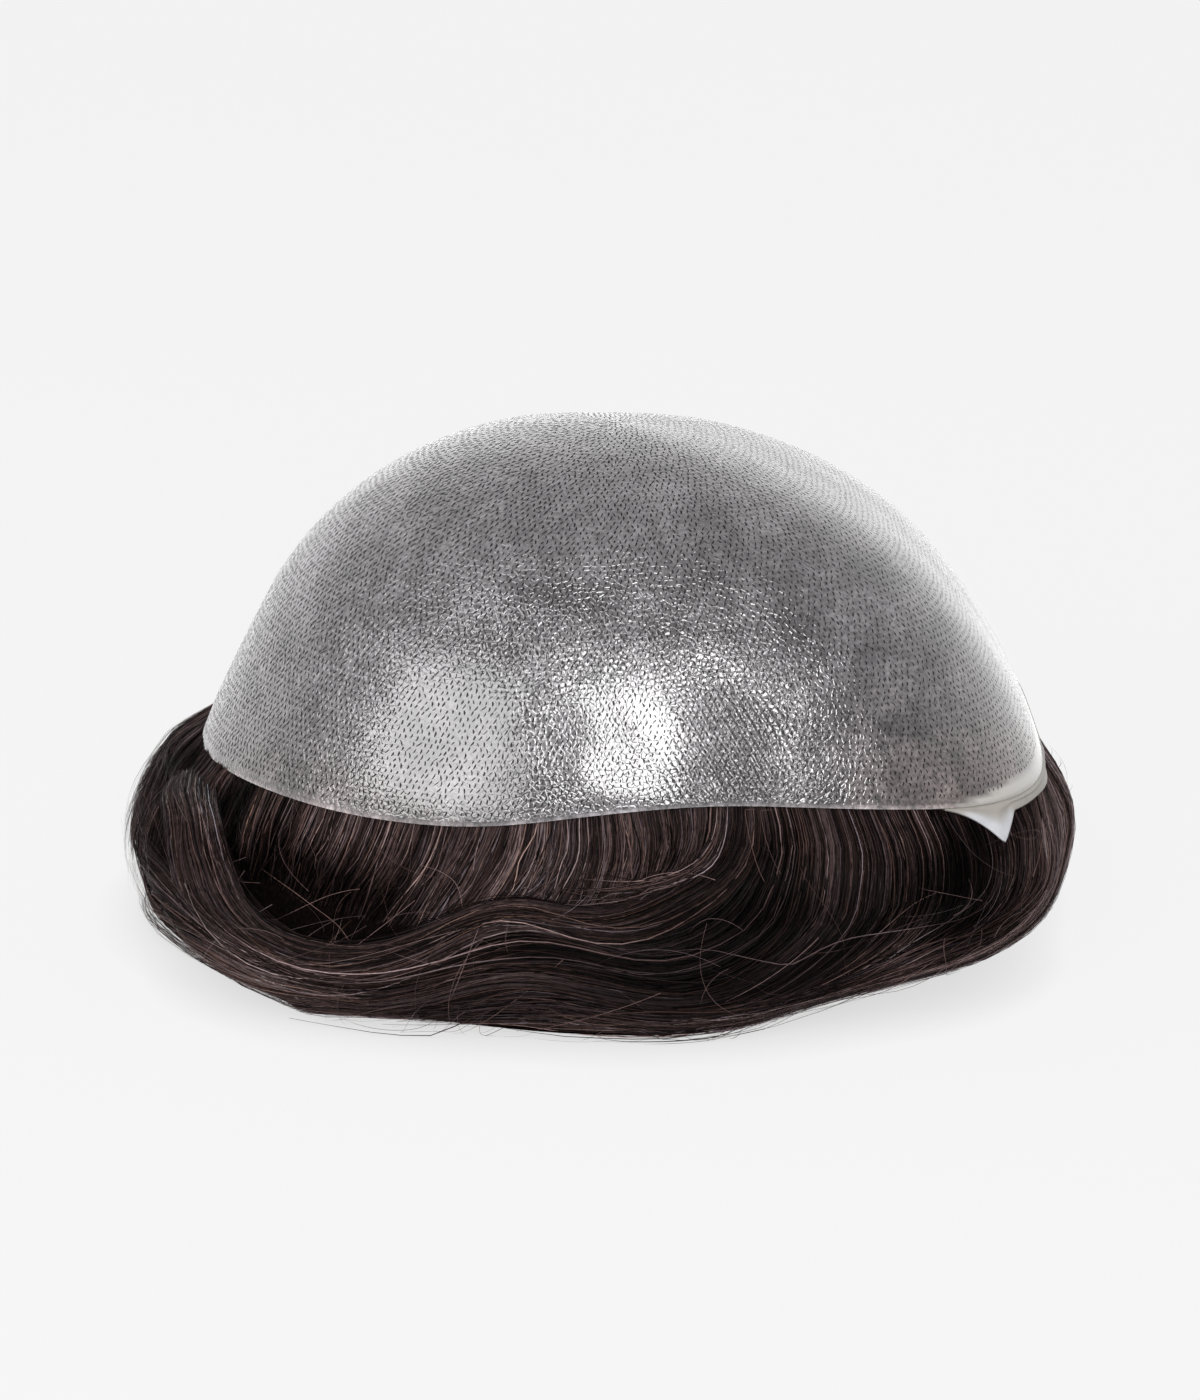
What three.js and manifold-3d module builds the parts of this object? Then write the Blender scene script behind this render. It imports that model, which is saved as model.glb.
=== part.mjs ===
// A toupee hairpiece lying on a table with its base turned inside out. The thin clear
// film base stands as a dome, its scalp side outwards, and the hair knotted through it
// lines the inside, falls from the rim all round and lies in swept locks on the table.
// Millimetres, +Z up. +X points to the front hairline and -Y to the side that shows the
// long wave. The origin is on the table under the middle of the whole hairpiece.
import * as THREE from "three";
import { mergeVertices } from "three/addons/utils/BufferGeometryUtils.js";
import Module from "manifold-3d";

// Film base
const baseLength = 185; // rim to rim, hairline to nape
const baseWidth = 124; // rim to rim, side to side
const domeHeight = 68.5; // crown above the rim
const rimHeight = 44.5; // rim above the table
const filmWall = 1.0; // the film, thickened to a wall
const hairlineSquareness = 4.2; // plan exponent at the hairline, 2 is an ellipse
const napeSquareness = 1.95; // plan exponent at the nape
const crownSetback = 7; // crown behind the middle of the rim

// Clear margin strip at the hairline
const marginWidth = 3.2; // how far the strip stands out past the rim
const marginFall = 5; // drop of the strip's free edge below the rim
const tabLength = 4; // what each pointed corner adds to the drop
const tabReach = 1; // what each pointed corner adds to the width
const tabAngle = 34; // degrees from +X to each pointed corner
const tabSpan = 4; // degrees from a corner's point to each end of it
const marginLap = 2.5; // strip tucked under the base

// Hair
const overhang = 16; // how far the hair stands out past the rim at most
const liningDepth = 8; // hair lying against the inside of the film
const floorBand = 20; // hair on the table, inwards from midway between rim and foot
const kneeReach = 0.75; // inner knee, as a share of the way from table edge to lining
const kneeRise = 0.55; // height of the knee, as a share of the lining's lowest point
const stripCount = 18; // strips of the fall round the rim
const stripRelief = 1.2; // half the height from strip to groove
const stripSweep = 34; // degrees a strip turns between rim and table
const lockWidth = 32; // widest lock, up its face
const lockDepth = 14; // widest lock, through it
const ribRelief = 0.06; // half depth of a lock's ribs, as a share of its radius
const lockEnd = 0.18; // share of a lock's length over which each end rounds off
const lockTip = 0.12; // squared size of the very end, as a share
const clearance = 0.3; // between pieces that touch

// Resolution
const aroundSteps = 80; // divisions round the rim
const domeSteps = 10; // divisions from crown to rim
const fallSteps = 8; // divisions from rim to table
const liningSteps = 6; // divisions up the inside
const lockSteps = 22; // divisions along a lock
const lockSides = 14; // sides round a lock
const stripSteps = 28; // divisions along the margin strip

// Film section from crown to rim: reach as a share of the rim's reach, rise as a share
// of the dome's height.
const domeSection = [
  { reach: 0.0, rise: 1.0 },
  { reach: 0.13, rise: 0.993 },
  { reach: 0.265, rise: 0.961 },
  { reach: 0.41, rise: 0.892 },
  { reach: 0.55, rise: 0.8 },
  { reach: 0.67, rise: 0.68 },
  { reach: 0.765, rise: 0.55 },
  { reach: 0.84, rise: 0.41 },
  { reach: 0.91, rise: 0.24 },
  { reach: 0.965, rise: 0.1 },
  { reach: 1.0, rise: 0.0 },
];

// Margin strip section from its lap to its free edge: how far out as a share of its
// width, and how far down as a share of its drop.
const marginSection = [
  { out: -1, fall: 0 },
  { out: 0, fall: 0 },
  { out: 0.45, fall: 0.2 },
  { out: 1, fall: 1 },
];

// Hair section from rim to table: drop as a share of the rim's height, then how much
// of the belly's and of the foot's overhang applies there.
const fallSection = [
  { drop: 0.0, belly: 0.0, foot: 0.0 },
  { drop: 0.06, belly: 0.36, foot: 0.0 },
  { drop: 0.18, belly: 0.68, foot: 0.0 },
  { drop: 0.38, belly: 0.94, foot: 0.0 },
  { drop: 0.6, belly: 1.0, foot: 0.0 },
  { drop: 0.84, belly: 0.6, foot: 0.4 },
  { drop: 1.0, belly: 0.0, foot: 1.0 },
];

// Round the rim, in degrees from +X towards +Y: lift of the rim as a share of its
// height, and the fall's overhang at its belly and at its foot, as shares of the widest.
const roundTheRim = [
  { at: 0, lift: 0.0, belly: 0.46, foot: -0.7 },
  { at: 35, lift: 0.0, belly: 0.4, foot: 0.0 },
  { at: 70, lift: 0.05, belly: 0.4, foot: 0.5 },
  { at: 110, lift: 0.05, belly: 0.45, foot: 0.6 },
  { at: 150, lift: 0.0, belly: 1.15, foot: 0.8 },
  { at: 180, lift: -0.07, belly: 1.1, foot: 0.85 },
  { at: 205, lift: -0.04, belly: 0.8, foot: 0.6 },
  { at: 225, lift: -0.035, belly: 0.3, foot: 0.5 },
  { at: 245, lift: -0.02, belly: 0.2, foot: 0.6 },
  { at: 267, lift: 0.05, belly: 0.25, foot: 0.8 },
  { at: 290, lift: 0.095, belly: 0.3, foot: 0.6 },
  { at: 312, lift: 0.06, belly: 0.3, foot: -0.9 },
  { at: 330, lift: 0.0, belly: 0.2, foot: -1.6 },
  { at: 345, lift: 0.0, belly: 0.2, foot: -1.4 },
];

// Locks, a row for each section from root to tip: the angle round the rim, how far the
// middle stands proud of the fall as a share of the lock depth, the height as a share of
// the rim's height, and the width and depth as shares of the widest lock's.
const locks = {
  side_curl: [
    { at: 246, proud: 0.1, height: 0.05, width: 0.2, depth: 0.57 },
    { at: 233, proud: 0.2, height: 0.11, width: 0.36, depth: 0.75 },
    { at: 221, proud: 0.3, height: 0.18, width: 0.52, depth: 0.88 },
    { at: 210, proud: 0.3, height: 0.32, width: 0.63, depth: 0.95 },
    { at: 202, proud: 0.25, height: 0.52, width: 0.62, depth: 0.95 },
    { at: 198, proud: 0.2, height: 0.72, width: 0.5, depth: 0.86 },
    { at: 197, proud: 0.35, height: 0.88, width: 0.34, depth: 0.66 },
  ],
  front_wave: [
    { at: 314, proud: 0.1, height: 0.64, width: 0.22, depth: 0.57 },
    { at: 303, proud: 0.1, height: 0.5, width: 0.53, depth: 0.79 },
    { at: 288, proud: 0.1, height: 0.34, width: 0.8, depth: 0.93 },
    { at: 271, proud: 0.1, height: 0.32, width: 0.95, depth: 0.96 },
    { at: 254, proud: 0.1, height: 0.42, width: 0.95, depth: 0.96 },
    { at: 240, proud: 0.15, height: 0.31, width: 0.8, depth: 0.93 },
    { at: 226, proud: 0.12, height: 0.22, width: 0.55, depth: 0.79 },
    { at: 214, proud: 0.05, height: 0.24, width: 0.33, depth: 0.57 },
  ],
  temple_lock: [
    { at: 4, proud: 0.05, height: 0.8, width: 0.27, depth: 0.5 },
    { at: -4, proud: 0.05, height: 0.68, width: 0.42, depth: 0.71 },
    { at: -9, proud: 0.05, height: 0.56, width: 0.5, depth: 0.75 },
    { at: -15, proud: -0.05, height: 0.47, width: 0.52, depth: 0.75 },
    { at: -24, proud: -0.12, height: 0.4, width: 0.5, depth: 0.75 },
    { at: -35, proud: -0.1, height: 0.34, width: 0.45, depth: 0.71 },
    { at: -48, proud: 0.0, height: 0.26, width: 0.38, depth: 0.71 },
    { at: -61, proud: 0.12, height: 0.17, width: 0.3, depth: 0.64 },
    { at: -71, proud: 0.3, height: 0.1, width: 0.22, depth: 0.5 },
  ],
  back_sweep: [
    { at: 160, proud: 0.15, height: 0.55, width: 0.3, depth: 0.5 },
    { at: 143, proud: 0.15, height: 0.45, width: 0.6, depth: 0.8 },
    { at: 122, proud: 0.15, height: 0.3, width: 0.8, depth: 0.95 },
    { at: 98, proud: 0.15, height: 0.35, width: 0.9, depth: 0.95 },
    { at: 72, proud: 0.15, height: 0.45, width: 0.85, depth: 0.9 },
    { at: 50, proud: 0.15, height: 0.3, width: 0.6, depth: 0.8 },
    { at: 32, proud: 0.15, height: 0.2, width: 0.3, depth: 0.5 },
  ],
};

const wasm = await Module();
wasm.setup();

const radians = THREE.MathUtils.degToRad;
const lerp = THREE.MathUtils.lerp;

// Evenly spaced points on a smooth curve through a table's rows.
function sectionPoints(rows, pointOf, steps) {
  return new THREE.SplineCurve(rows.map(pointOf)).getSpacedPoints(steps);
}

// A column of roundTheRim at any angle in radians, smooth all the way round.
function aroundRim(column, angle) {
  const turn = THREE.MathUtils.euclideanModulo(THREE.MathUtils.radToDeg(angle), 360);
  const count = roundTheRim.length;
  const after = roundTheRim.findIndex((row) => row.at > turn);
  const next = after < 0 ? count : after;
  const row = (i) => roundTheRim[(i + count) % count];
  const from = row(next - 1).at;
  const to = next === count ? row(0).at + 360 : row(next).at;
  const t = (turn - from) / (to - from);
  const [a, b, c, d] = [-2, -1, 0, 1].map((step) => row(next + step)[column]);
  return b + 0.5 * t * (c - a + t * (2 * a - 5 * b + 4 * c - d + t * (3 * (b - c) + d - a)));
}

// Distance from the axis to the rim, seen from above.
function rimReach(angle) {
  const along = Math.abs(Math.cos(angle)) / (baseLength / 2);
  const aside = Math.abs(Math.sin(angle)) / (baseWidth / 2);
  const squareness = lerp(napeSquareness, hairlineSquareness, (1 + Math.cos(angle)) / 2);
  return (along ** squareness + aside ** squareness) ** (-1 / squareness);
}

function rimLevel(angle) {
  return rimHeight * (1 + aroundRim("lift", angle));
}

// A point at a plan angle and distance from the axis. The axis bends back to the crown.
function place(angle, reach, height) {
  const lean = crownSetback * Math.max(0, (height - rimHeight) / domeHeight) ** 2;
  return new THREE.Vector3(reach * Math.cos(angle) - lean, reach * Math.sin(angle), height);
}

// The film's section at an angle, moved inwards by depth, as reach and height pairs.
function filmSection(angle, depth, steps) {
  const reach = rimReach(angle);
  const level = rimLevel(angle);
  const rise = rimHeight + domeHeight - level;
  const pointOf = (row) => new THREE.Vector2(row.reach * reach, level + row.rise * rise);
  const outer = sectionPoints(domeSection, pointOf, steps);
  return outer.map((point, i) => {
    if (i === 0) return new THREE.Vector2(0, point.y - depth);
    const before = outer[i - 1];
    const after = outer[Math.min(i + 1, steps)];
    const along = after.clone().sub(before).normalize();
    const inwards = new THREE.Vector2(along.y, -along.x);
    if (i === steps) inwards.set(-1 / Math.abs(along.y), 0);
    return point.clone().addScaledVector(inwards, depth);
  });
}

// Strips and grooves of the fall, swept round as they go down.
function stripRipple(angle, drop) {
  const turned = angle + radians(stripSweep) * drop;
  return stripRelief * Math.sin(Math.PI * drop) * Math.cos(stripCount * turned);
}

// The smooth face of the fall from the rim to the table, as reach and height pairs.
function fallCurve(angle, steps) {
  const rim = filmSection(angle, filmWall + clearance, domeSteps)[domeSteps];
  const belly = overhang * aroundRim("belly", angle);
  const foot = overhang * aroundRim("foot", angle);
  const pointOf = (row) =>
    new THREE.Vector2(rim.x + row.belly * belly + row.foot * foot, rim.y * (1 - row.drop));
  return sectionPoints(fallSection, pointOf, steps);
}

// The face below the rim with its strips.
function fallFace(angle, grow) {
  const [rim, ...face] = fallCurve(angle, fallSteps);
  return face.map(({ x, y }) => new THREE.Vector2(x + stripRipple(angle, 1 - y / rim.y) + grow, y));
}

// Distance from the axis to the smooth face at a height.
function fallReach(angle, height) {
  const face = fallCurve(angle, fallSteps);
  const below = Math.max(1, face.findIndex((point) => point.y <= height));
  const [over, under] = [face[below - 1], face[below]];
  return lerp(under.x, over.x, (height - under.y) / (over.y - under.y));
}

// The hair's section at an angle: up to the crown outside, down the fall, in along the
// table and back up the hollow.
function hairSection(angle, grow) {
  const under = filmSection(angle, filmWall + clearance - grow, domeSteps);
  const fall = fallFace(angle, grow);
  const lining = filmSection(angle, filmWall + clearance + liningDepth, liningSteps).reverse();
  const foot = fall[fall.length - 1];
  const rim = under[domeSteps];
  const floorInner = new THREE.Vector2((foot.x + rim.x) / 2 - floorBand, -grow);
  foot.y = -grow;
  const knee = lining.shift();
  knee.set(lerp(floorInner.x, lining[0].x, kneeReach), lining[0].y * kneeRise);
  return [...under, ...fall, floorInner, knee, ...lining];
}

// A closed solid from one section per angle. Sections start and end on the axis.
function revolveSections(sectionAt) {
  const sections = [];
  for (let i = 0; i < aroundSteps; i++) {
    const angle = (2 * Math.PI * i) / aroundSteps;
    sections.push(sectionAt(angle).map((p) => place(angle, p.x, p.y)));
  }
  const rows = sections[0].length - 2;
  const vertices = [sections[0][0]];
  for (let row = 1; row <= rows; row++) sections.forEach((s) => vertices.push(s[row]));
  vertices.push(sections[0][rows + 1]);
  const at = (row, i) => 1 + row * aroundSteps + (i % aroundSteps);
  const faces = [];
  for (let i = 0; i < aroundSteps; i++) {
    faces.push([0, at(0, i), at(0, i + 1)]);
    for (let row = 0; row < rows - 1; row++) {
      faces.push([at(row, i), at(row + 1, i), at(row + 1, i + 1)]);
      faces.push([at(row, i), at(row + 1, i + 1), at(row, i + 1)]);
    }
    faces.push([at(rows - 1, i), vertices.length - 1, at(rows - 1, i + 1)]);
  }
  return geometryOf(vertices, faces);
}

function geometryOf(vertices, faces) {
  const geometry = new THREE.BufferGeometry().setFromPoints(vertices);
  return geometry.setIndex(faces.flat());
}

function solidOf(geometry) {
  const bare = geometry.clone();
  bare.deleteAttribute("normal");
  bare.deleteAttribute("uv");
  const merged = mergeVertices(bare, 1e-4);
  return new wasm.Manifold(
    new wasm.Mesh({
      numProp: 3,
      vertProperties: merged.attributes.position.array,
      triVerts: new Uint32Array(merged.index.array),
    }),
  );
}

function geometryFrom(solid) {
  const mesh = solid.getMesh();
  const geometry = new THREE.BufferGeometry();
  geometry.setAttribute("position", new THREE.BufferAttribute(mesh.vertProperties, 3));
  return geometry.setIndex(new THREE.BufferAttribute(mesh.triVerts, 1));
}

// The hollow film dome, open below.
function skinBase() {
  return revolveSections((angle) => [
    ...filmSection(angle, 0, domeSteps),
    ...filmSection(angle, filmWall, domeSteps).reverse(),
  ]);
}

// The lining, the fall and its band on the table in one piece. Grown, it cuts the locks.
function hairFall(grow = 0) {
  const whole = solidOf(revolveSections((angle) => hairSection(angle, grow)));
  return whole.subtract(solidOf(marginStrip(clearance)));
}

// A tapering lock through its table's sections, flat where it meets the table.
function lock(rows, grow = 0) {
  const centres = rows.map((row) => {
    const angle = radians(row.at);
    const height = row.height * rimHeight;
    return place(angle, fallReach(angle, height) + row.proud * lockDepth, height);
  });
  const path = new THREE.CatmullRomCurve3(centres, false, "centripetal");
  const vertices = [path.getPoint(0)];
  for (let step = 0; step <= lockSteps; step++) {
    const t = step / lockSteps;
    const centre = path.getPoint(t);
    const along = path.getTangent(t);
    const index = Math.min(Math.floor(t * (rows.length - 1)), rows.length - 2);
    const part = THREE.MathUtils.smoothstep(t * (rows.length - 1) - index, 0, 1);
    const end = Math.sqrt(Math.min(1, lockTip + Math.min(t, 1 - t) / lockEnd));
    const size = (column) => lerp(rows[index][column], rows[index + 1][column], part) * end;
    const outwards = new THREE.Vector3(centre.x, centre.y, 0).normalize();
    outwards.addScaledVector(along, -outwards.dot(along)).normalize();
    const upwards = new THREE.Vector3().crossVectors(along, outwards);
    for (let side = 0; side < lockSides; side++) {
      const turn = (2 * Math.PI * side) / lockSides;
      const rib = 1 + ribRelief * (side % 2 ? -1 : 1);
      const depth = (size("depth") * lockDepth * rib) / 2 + grow;
      const width = (size("width") * lockWidth * rib) / 2 + grow;
      const point = centre.clone();
      point.addScaledVector(outwards, depth * Math.cos(turn));
      point.addScaledVector(upwards, width * Math.sin(turn));
      point.z = Math.max(point.z, -grow);
      vertices.push(point);
    }
  }
  vertices.push(path.getPoint(1));
  const at = (step, side) => 1 + step * lockSides + (side % lockSides);
  const faces = [];
  for (let side = 0; side < lockSides; side++) {
    faces.push([0, at(0, side + 1), at(0, side)]);
    for (let step = 0; step < lockSteps; step++) {
      faces.push([at(step, side), at(step, side + 1), at(step + 1, side + 1)]);
      faces.push([at(step, side), at(step + 1, side + 1), at(step + 1, side)]);
    }
    faces.push([vertices.length - 1, at(lockSteps, side), at(lockSteps, side + 1)]);
  }
  return geometryOf(vertices, faces);
}

// The clear margin strip at the hairline, with a pointed corner at each end. Grown, it
// cuts the slot for its lap.
function marginStrip(grow = 0) {
  const span = radians(tabAngle + 1.5 * tabSpan);
  const vertices = [];
  const section = (angle) => {
    const off = Math.abs(Math.abs(angle) - radians(tabAngle)) / radians(tabSpan);
    const point = Math.max(0, 1 - off);
    const fade = Math.min(1, (span - Math.abs(angle)) / radians(tabSpan)) ** 0.5;
    const reach = rimReach(angle);
    const level = rimLevel(angle) - clearance;
    return marginSection.map(({ out, fall }) => {
      const width = fade * (marginWidth + tabReach * point);
      const beyond = out < 0 ? -marginLap - grow : out * width;
      const drop = fall * fade * (marginFall + tabLength * point);
      return new THREE.Vector2(reach + beyond, level - drop);
    });
  };
  for (let step = 0; step <= stripSteps; step++) {
    const angle = lerp(-span, span, step / stripSteps);
    const top = section(angle);
    const under = top.slice().reverse();
    top.forEach((p) => vertices.push(place(angle, p.x, p.y + grow)));
    under.forEach((p) => vertices.push(place(angle, p.x, p.y - filmWall - grow)));
  }
  const ring = marginSection.length * 2;
  const at = (step, i) => step * ring + (i % ring);
  const faces = [];
  for (let i = 0; i < ring; i++) {
    for (let step = 0; step < stripSteps; step++) {
      faces.push([at(step, i), at(step, i + 1), at(step + 1, i + 1)]);
      faces.push([at(step, i), at(step + 1, i + 1), at(step + 1, i)]);
    }
  }
  for (let i = 1; i < ring - 1; i++) {
    faces.push([at(0, 0), at(0, i + 1), at(0, i)]);
    faces.push([at(stripSteps, 0), at(stripSteps, i), at(stripSteps, i + 1)]);
  }
  return geometryOf(vertices, faces);
}

const film = new THREE.MeshStandardMaterial({ color: 0x9a9a9e, roughness: 0.3 });
const clearFilm = new THREE.MeshStandardMaterial({ color: 0xdcdcda, roughness: 0.35 });
const hair = new THREE.MeshStandardMaterial({ color: 0x2b201c, roughness: 0.55 });

function piece(name, geometry, material) {
  const mesh = new THREE.Mesh(geometry, material);
  mesh.name = name;
  return mesh;
}

// Each lock is cut back from the fall and from the locks laid before it.
function lockPieces() {
  let taken = hairFall(clearance);
  return Object.entries(locks).map(([name, rows]) => {
    const solid = solidOf(lock(rows)).subtract(taken);
    taken = taken.add(solidOf(lock(rows, clearance)));
    return piece(name, geometryFrom(solid), hair);
  });
}

const hairpiece = new THREE.Group();
hairpiece.add(
  piece("skin_base", skinBase(), film),
  piece("margin_strip", marginStrip(), clearFilm),
  piece("hair_fall", geometryFrom(hairFall()), hair),
  ...lockPieces(),
);

// The whole stands on the table with its middle over the origin.
const extent = new THREE.Box3().setFromObject(hairpiece);
const middle = extent.getCenter(new THREE.Vector3());
hairpiece.position.set(-middle.x, -middle.y, -extent.min.z);

export default hairpiece;
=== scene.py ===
"""Looks of the toupee hairpiece, which lies on a table with its film base inside out.

The frame gives the forms. Here the film gets its knots and gloss, the hair its strands
and the hairline its clear folded margin. Metres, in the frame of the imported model.
"""
import math

import bpy
import numpy as np
from mathutils import Matrix, Vector
from mathutils.bvhtree import BVHTree


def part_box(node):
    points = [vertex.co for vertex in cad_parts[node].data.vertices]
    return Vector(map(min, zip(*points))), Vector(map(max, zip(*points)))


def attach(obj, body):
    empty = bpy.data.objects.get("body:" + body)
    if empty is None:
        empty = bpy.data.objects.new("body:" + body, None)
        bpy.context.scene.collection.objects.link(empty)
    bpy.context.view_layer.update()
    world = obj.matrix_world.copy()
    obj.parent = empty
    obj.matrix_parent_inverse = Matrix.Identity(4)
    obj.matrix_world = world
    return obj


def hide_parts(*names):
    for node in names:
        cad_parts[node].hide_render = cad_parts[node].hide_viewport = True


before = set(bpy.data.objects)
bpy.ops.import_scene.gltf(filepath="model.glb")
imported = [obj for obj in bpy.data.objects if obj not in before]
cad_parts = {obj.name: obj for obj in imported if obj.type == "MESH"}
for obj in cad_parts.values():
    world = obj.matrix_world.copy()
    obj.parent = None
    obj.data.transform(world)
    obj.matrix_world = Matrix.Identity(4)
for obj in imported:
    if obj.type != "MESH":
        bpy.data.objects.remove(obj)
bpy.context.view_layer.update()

MM = 0.001
TAU = 2 * math.pi
GUIDE_STEPS = 61
HAIR_NODES = ("hair_fall", "side_curl", "front_wave", "temple_lock", "back_sweep")

# Camera.
TARGET = Vector((0.0, 0.0, 0.0483))
ELEVATION = math.radians(20.5)
DISTANCE = 0.736
FOCAL_PIXELS = 3305.6
MIDDLE = (600, 700)
FORWARD = Vector((0.0, math.cos(ELEVATION), -math.sin(ELEVATION)))
RIGHT = Vector((1.0, 0.0, 0.0))
UP = RIGHT.cross(FORWARD)
EYE = TARGET - FORWARD * DISTANCE


def make_camera():
    data = bpy.data.cameras.new("camera")
    data.lens = 85.0
    data.sensor_width = 36.0
    data.sensor_fit = "AUTO"
    data.clip_start = 0.01
    data.clip_end = 50.0
    camera = bpy.data.objects.new("camera", data)
    turn = Matrix((RIGHT, UP, -FORWARD)).transposed().to_4x4()
    camera.matrix_world = Matrix.Translation(EYE) @ turn
    bpy.context.scene.collection.objects.link(camera)
    bpy.context.scene.camera = camera


make_camera()


def pixel_ray(px, py):
    """Direction from the camera through a pixel of the photograph's frame."""
    across, down = (px - MIDDLE[0]) / FOCAL_PIXELS, (py - MIDDLE[1]) / FOCAL_PIXELS
    return (FORWARD + RIGHT * across - UP * down).normalized()


def pixel_of(spot):
    """Pixel of the photograph's frame where a point is seen."""
    away = Vector(spot) - EYE
    depth = away.dot(FORWARD)
    return np.array([MIDDLE[0] + FOCAL_PIXELS * away.dot(RIGHT) / depth,
                     MIDDLE[1] - FOCAL_PIXELS * away.dot(UP) / depth])


# Frame surfaces.
def tree_of(names):
    """Nodes of the frame as one tree for casting rays."""
    verts, faces = [], []
    for name in names:
        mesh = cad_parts[name].data
        base = len(verts)
        verts += [v.co.copy() for v in mesh.vertices]
        mesh.calc_loop_triangles()
        faces += [tuple(base + i for i in t.vertices) for t in mesh.loop_triangles]
    return BVHTree.FromPolygons(verts, faces)


base_low, base_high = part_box("skin_base")
AXIS = (np.array(base_low) + np.array(base_high))[:2] / 2
hair_tree = tree_of(HAIR_NODES)
film_tree = tree_of(("skin_base",))


def round_axis(reach, theta, z):
    """Points at a reach and an angle from the film's upright axis."""
    return np.stack([AXIS[0] + reach * np.cos(theta), AXIS[1] + reach * np.sin(theta), z], -1)


def vertices_of(mesh):
    co = np.empty(len(mesh.vertices) * 3)
    mesh.vertices.foreach_get("co", co)
    return co.reshape(-1, 3)


def polar(spot):
    """Angle and reach of points round the axis."""
    flat = spot[..., :2] - AXIS
    return np.arctan2(flat[..., 1], flat[..., 0]), np.hypot(flat[..., 0], flat[..., 1])


def eased(x):
    x = np.clip(x, 0, 1)
    return x * x * (3 - 2 * x)


def bell(x):
    return np.exp(-(x**2))


def unit(vectors):
    """Vectors of length one."""
    length = np.linalg.norm(vectors, axis=-1, keepdims=True)
    return vectors / np.maximum(length, 1e-12)


def turn_from(theta, angle=0.0):
    """Signed turn from one angle to another, half a turn at most."""
    return (theta - angle + math.pi) % TAU - math.pi


def between(grid, theta, v):
    """Values of a grid between its points: by angle, and by place in its second direction."""
    u = (theta % TAU) / TAU * len(grid)
    i, j = np.floor(u).astype(int), np.floor(v).astype(int)
    fu, fv = u - i, v - j
    if grid.ndim == 3:
        fu, fv = fu[..., None], fv[..., None]
    i0, i1 = i % len(grid), (i + 1) % len(grid)
    near = grid[i0, j] * (1 - fv) + grid[i0, j + 1] * fv
    far = grid[i1, j] * (1 - fv) + grid[i1, j + 1] * fv
    return near * (1 - fu) + far * fu


def soften(grid, passes, axis, wrap):
    """Blur along one axis, round the turn where it wraps."""
    for _ in range(passes):
        if wrap:
            grid = (np.roll(grid, 1, axis) + 2 * grid + np.roll(grid, -1, axis)) / 4
        else:
            inner = grid.take(range(1, grid.shape[axis] - 1), axis)
            before = grid.take(range(0, grid.shape[axis] - 2), axis)
            after = grid.take(range(2, grid.shape[axis]), axis)
            first = grid.take([0], axis)
            last = grid.take([-1], axis)
            grid = np.concatenate([first, (before + 2 * inner + after) / 4, last], axis)
    return grid


# Places round the rim, half the turn that each looks at, and a level over all of the rim.
RIM_TURNS, RIM_LOOK, RIM_TOP = 80, math.radians(0.6), 53.5 * MM


def rim_of_film():
    """Reach and level of the film's rim, evenly spaced round the turn."""
    co = vertices_of(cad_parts["skin_base"].data)
    angle, reach = polar(co)
    angle = angle % TAU
    out_reach, out_level = np.empty(RIM_TURNS), np.empty(RIM_TURNS)
    for i, a in enumerate(np.arange(RIM_TURNS) * TAU / RIM_TURNS):
        off = np.abs(turn_from(angle, a))
        near = np.where((off < RIM_LOOK) & (co[:, 2] < RIM_TOP))[0]
        # The lowest point, and of points at one level the outermost.
        lowest = near[np.argmin(co[near, 2] - 0.001 * reach[near])]
        out_reach[i], out_level[i] = reach[lowest], co[lowest, 2]
    return out_reach, out_level


rim_reaches, rim_levels = rim_of_film()
rim_levels = soften(rim_levels, 2, 0, True)


def periodic(values, theta):
    """Smooth periodic interpolation of evenly spaced values."""
    n = len(values)
    u = (np.asarray(theta) % TAU) / TAU * n
    i = np.floor(u).astype(int)
    t = u - i
    a, b, c, d = (values[(i + k) % n] for k in (-1, 0, 1, 2))
    return b + 0.5 * t * (c - a + t * (2 * a - 5 * b + 4 * c - d + t * (3 * (b - c) + d - a)))


class HairSurface:
    """Distance of the hair's outer face from the axis, over angle and height."""

    turns, rows = 480, 66
    low, step = 0.0004, 0.0008
    outside = 0.2
    passes_round, passes_up = 20, 24

    def __init__(self):
        grid = np.full((self.turns, self.rows), np.nan)
        for i in range(self.turns):
            a = TAU * i / self.turns
            way = Vector((math.cos(a), math.sin(a), 0.0))
            for j in range(self.rows):
                level = self.low + j * self.step
                start = Vector((AXIS[0], AXIS[1], level)) + way * self.outside
                hit = hair_tree.ray_cast(start, -way)[0]
                if hit is not None:
                    grid[i, j] = math.hypot(hit.x - AXIS[0], hit.y - AXIS[1])
        for j in range(1, self.rows):
            gap = np.isnan(grid[:, j])
            grid[gap, j] = grid[gap, j - 1]
        grid = soften(grid, self.passes_round, 0, True)
        self.grid = soften(grid, self.passes_up, 1, False)

    def reach(self, theta, z):
        up = np.clip((z - self.low) / self.step, 0, self.rows - 1.001)
        return between(self.grid, theta, up)

    def point(self, theta, z):
        return round_axis(self.reach(theta, z), theta, z)

    def normal(self, theta, z):
        e, h = 0.02, 0.0012
        low = np.maximum(z - h, self.low)
        along = self.point(theta + e, z) - self.point(theta - e, z)
        up = self.point(theta, z + h) - self.point(theta, low)
        return unit(np.cross(along, up))


surface = HairSurface()


# Guides.
RAY_SPAN, RAY_STEPS = (0.58, 0.82), 1201
TABLE_LEVEL = 0.3 * MM
# Tries of the search for a pixel, its farthest reach in pixels and the share of each step.
SEARCH_TRIES, SEARCH_REACH, SEARCH_STEP = 6, 36, 0.7
GUIDE_PASSES = 5
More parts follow.
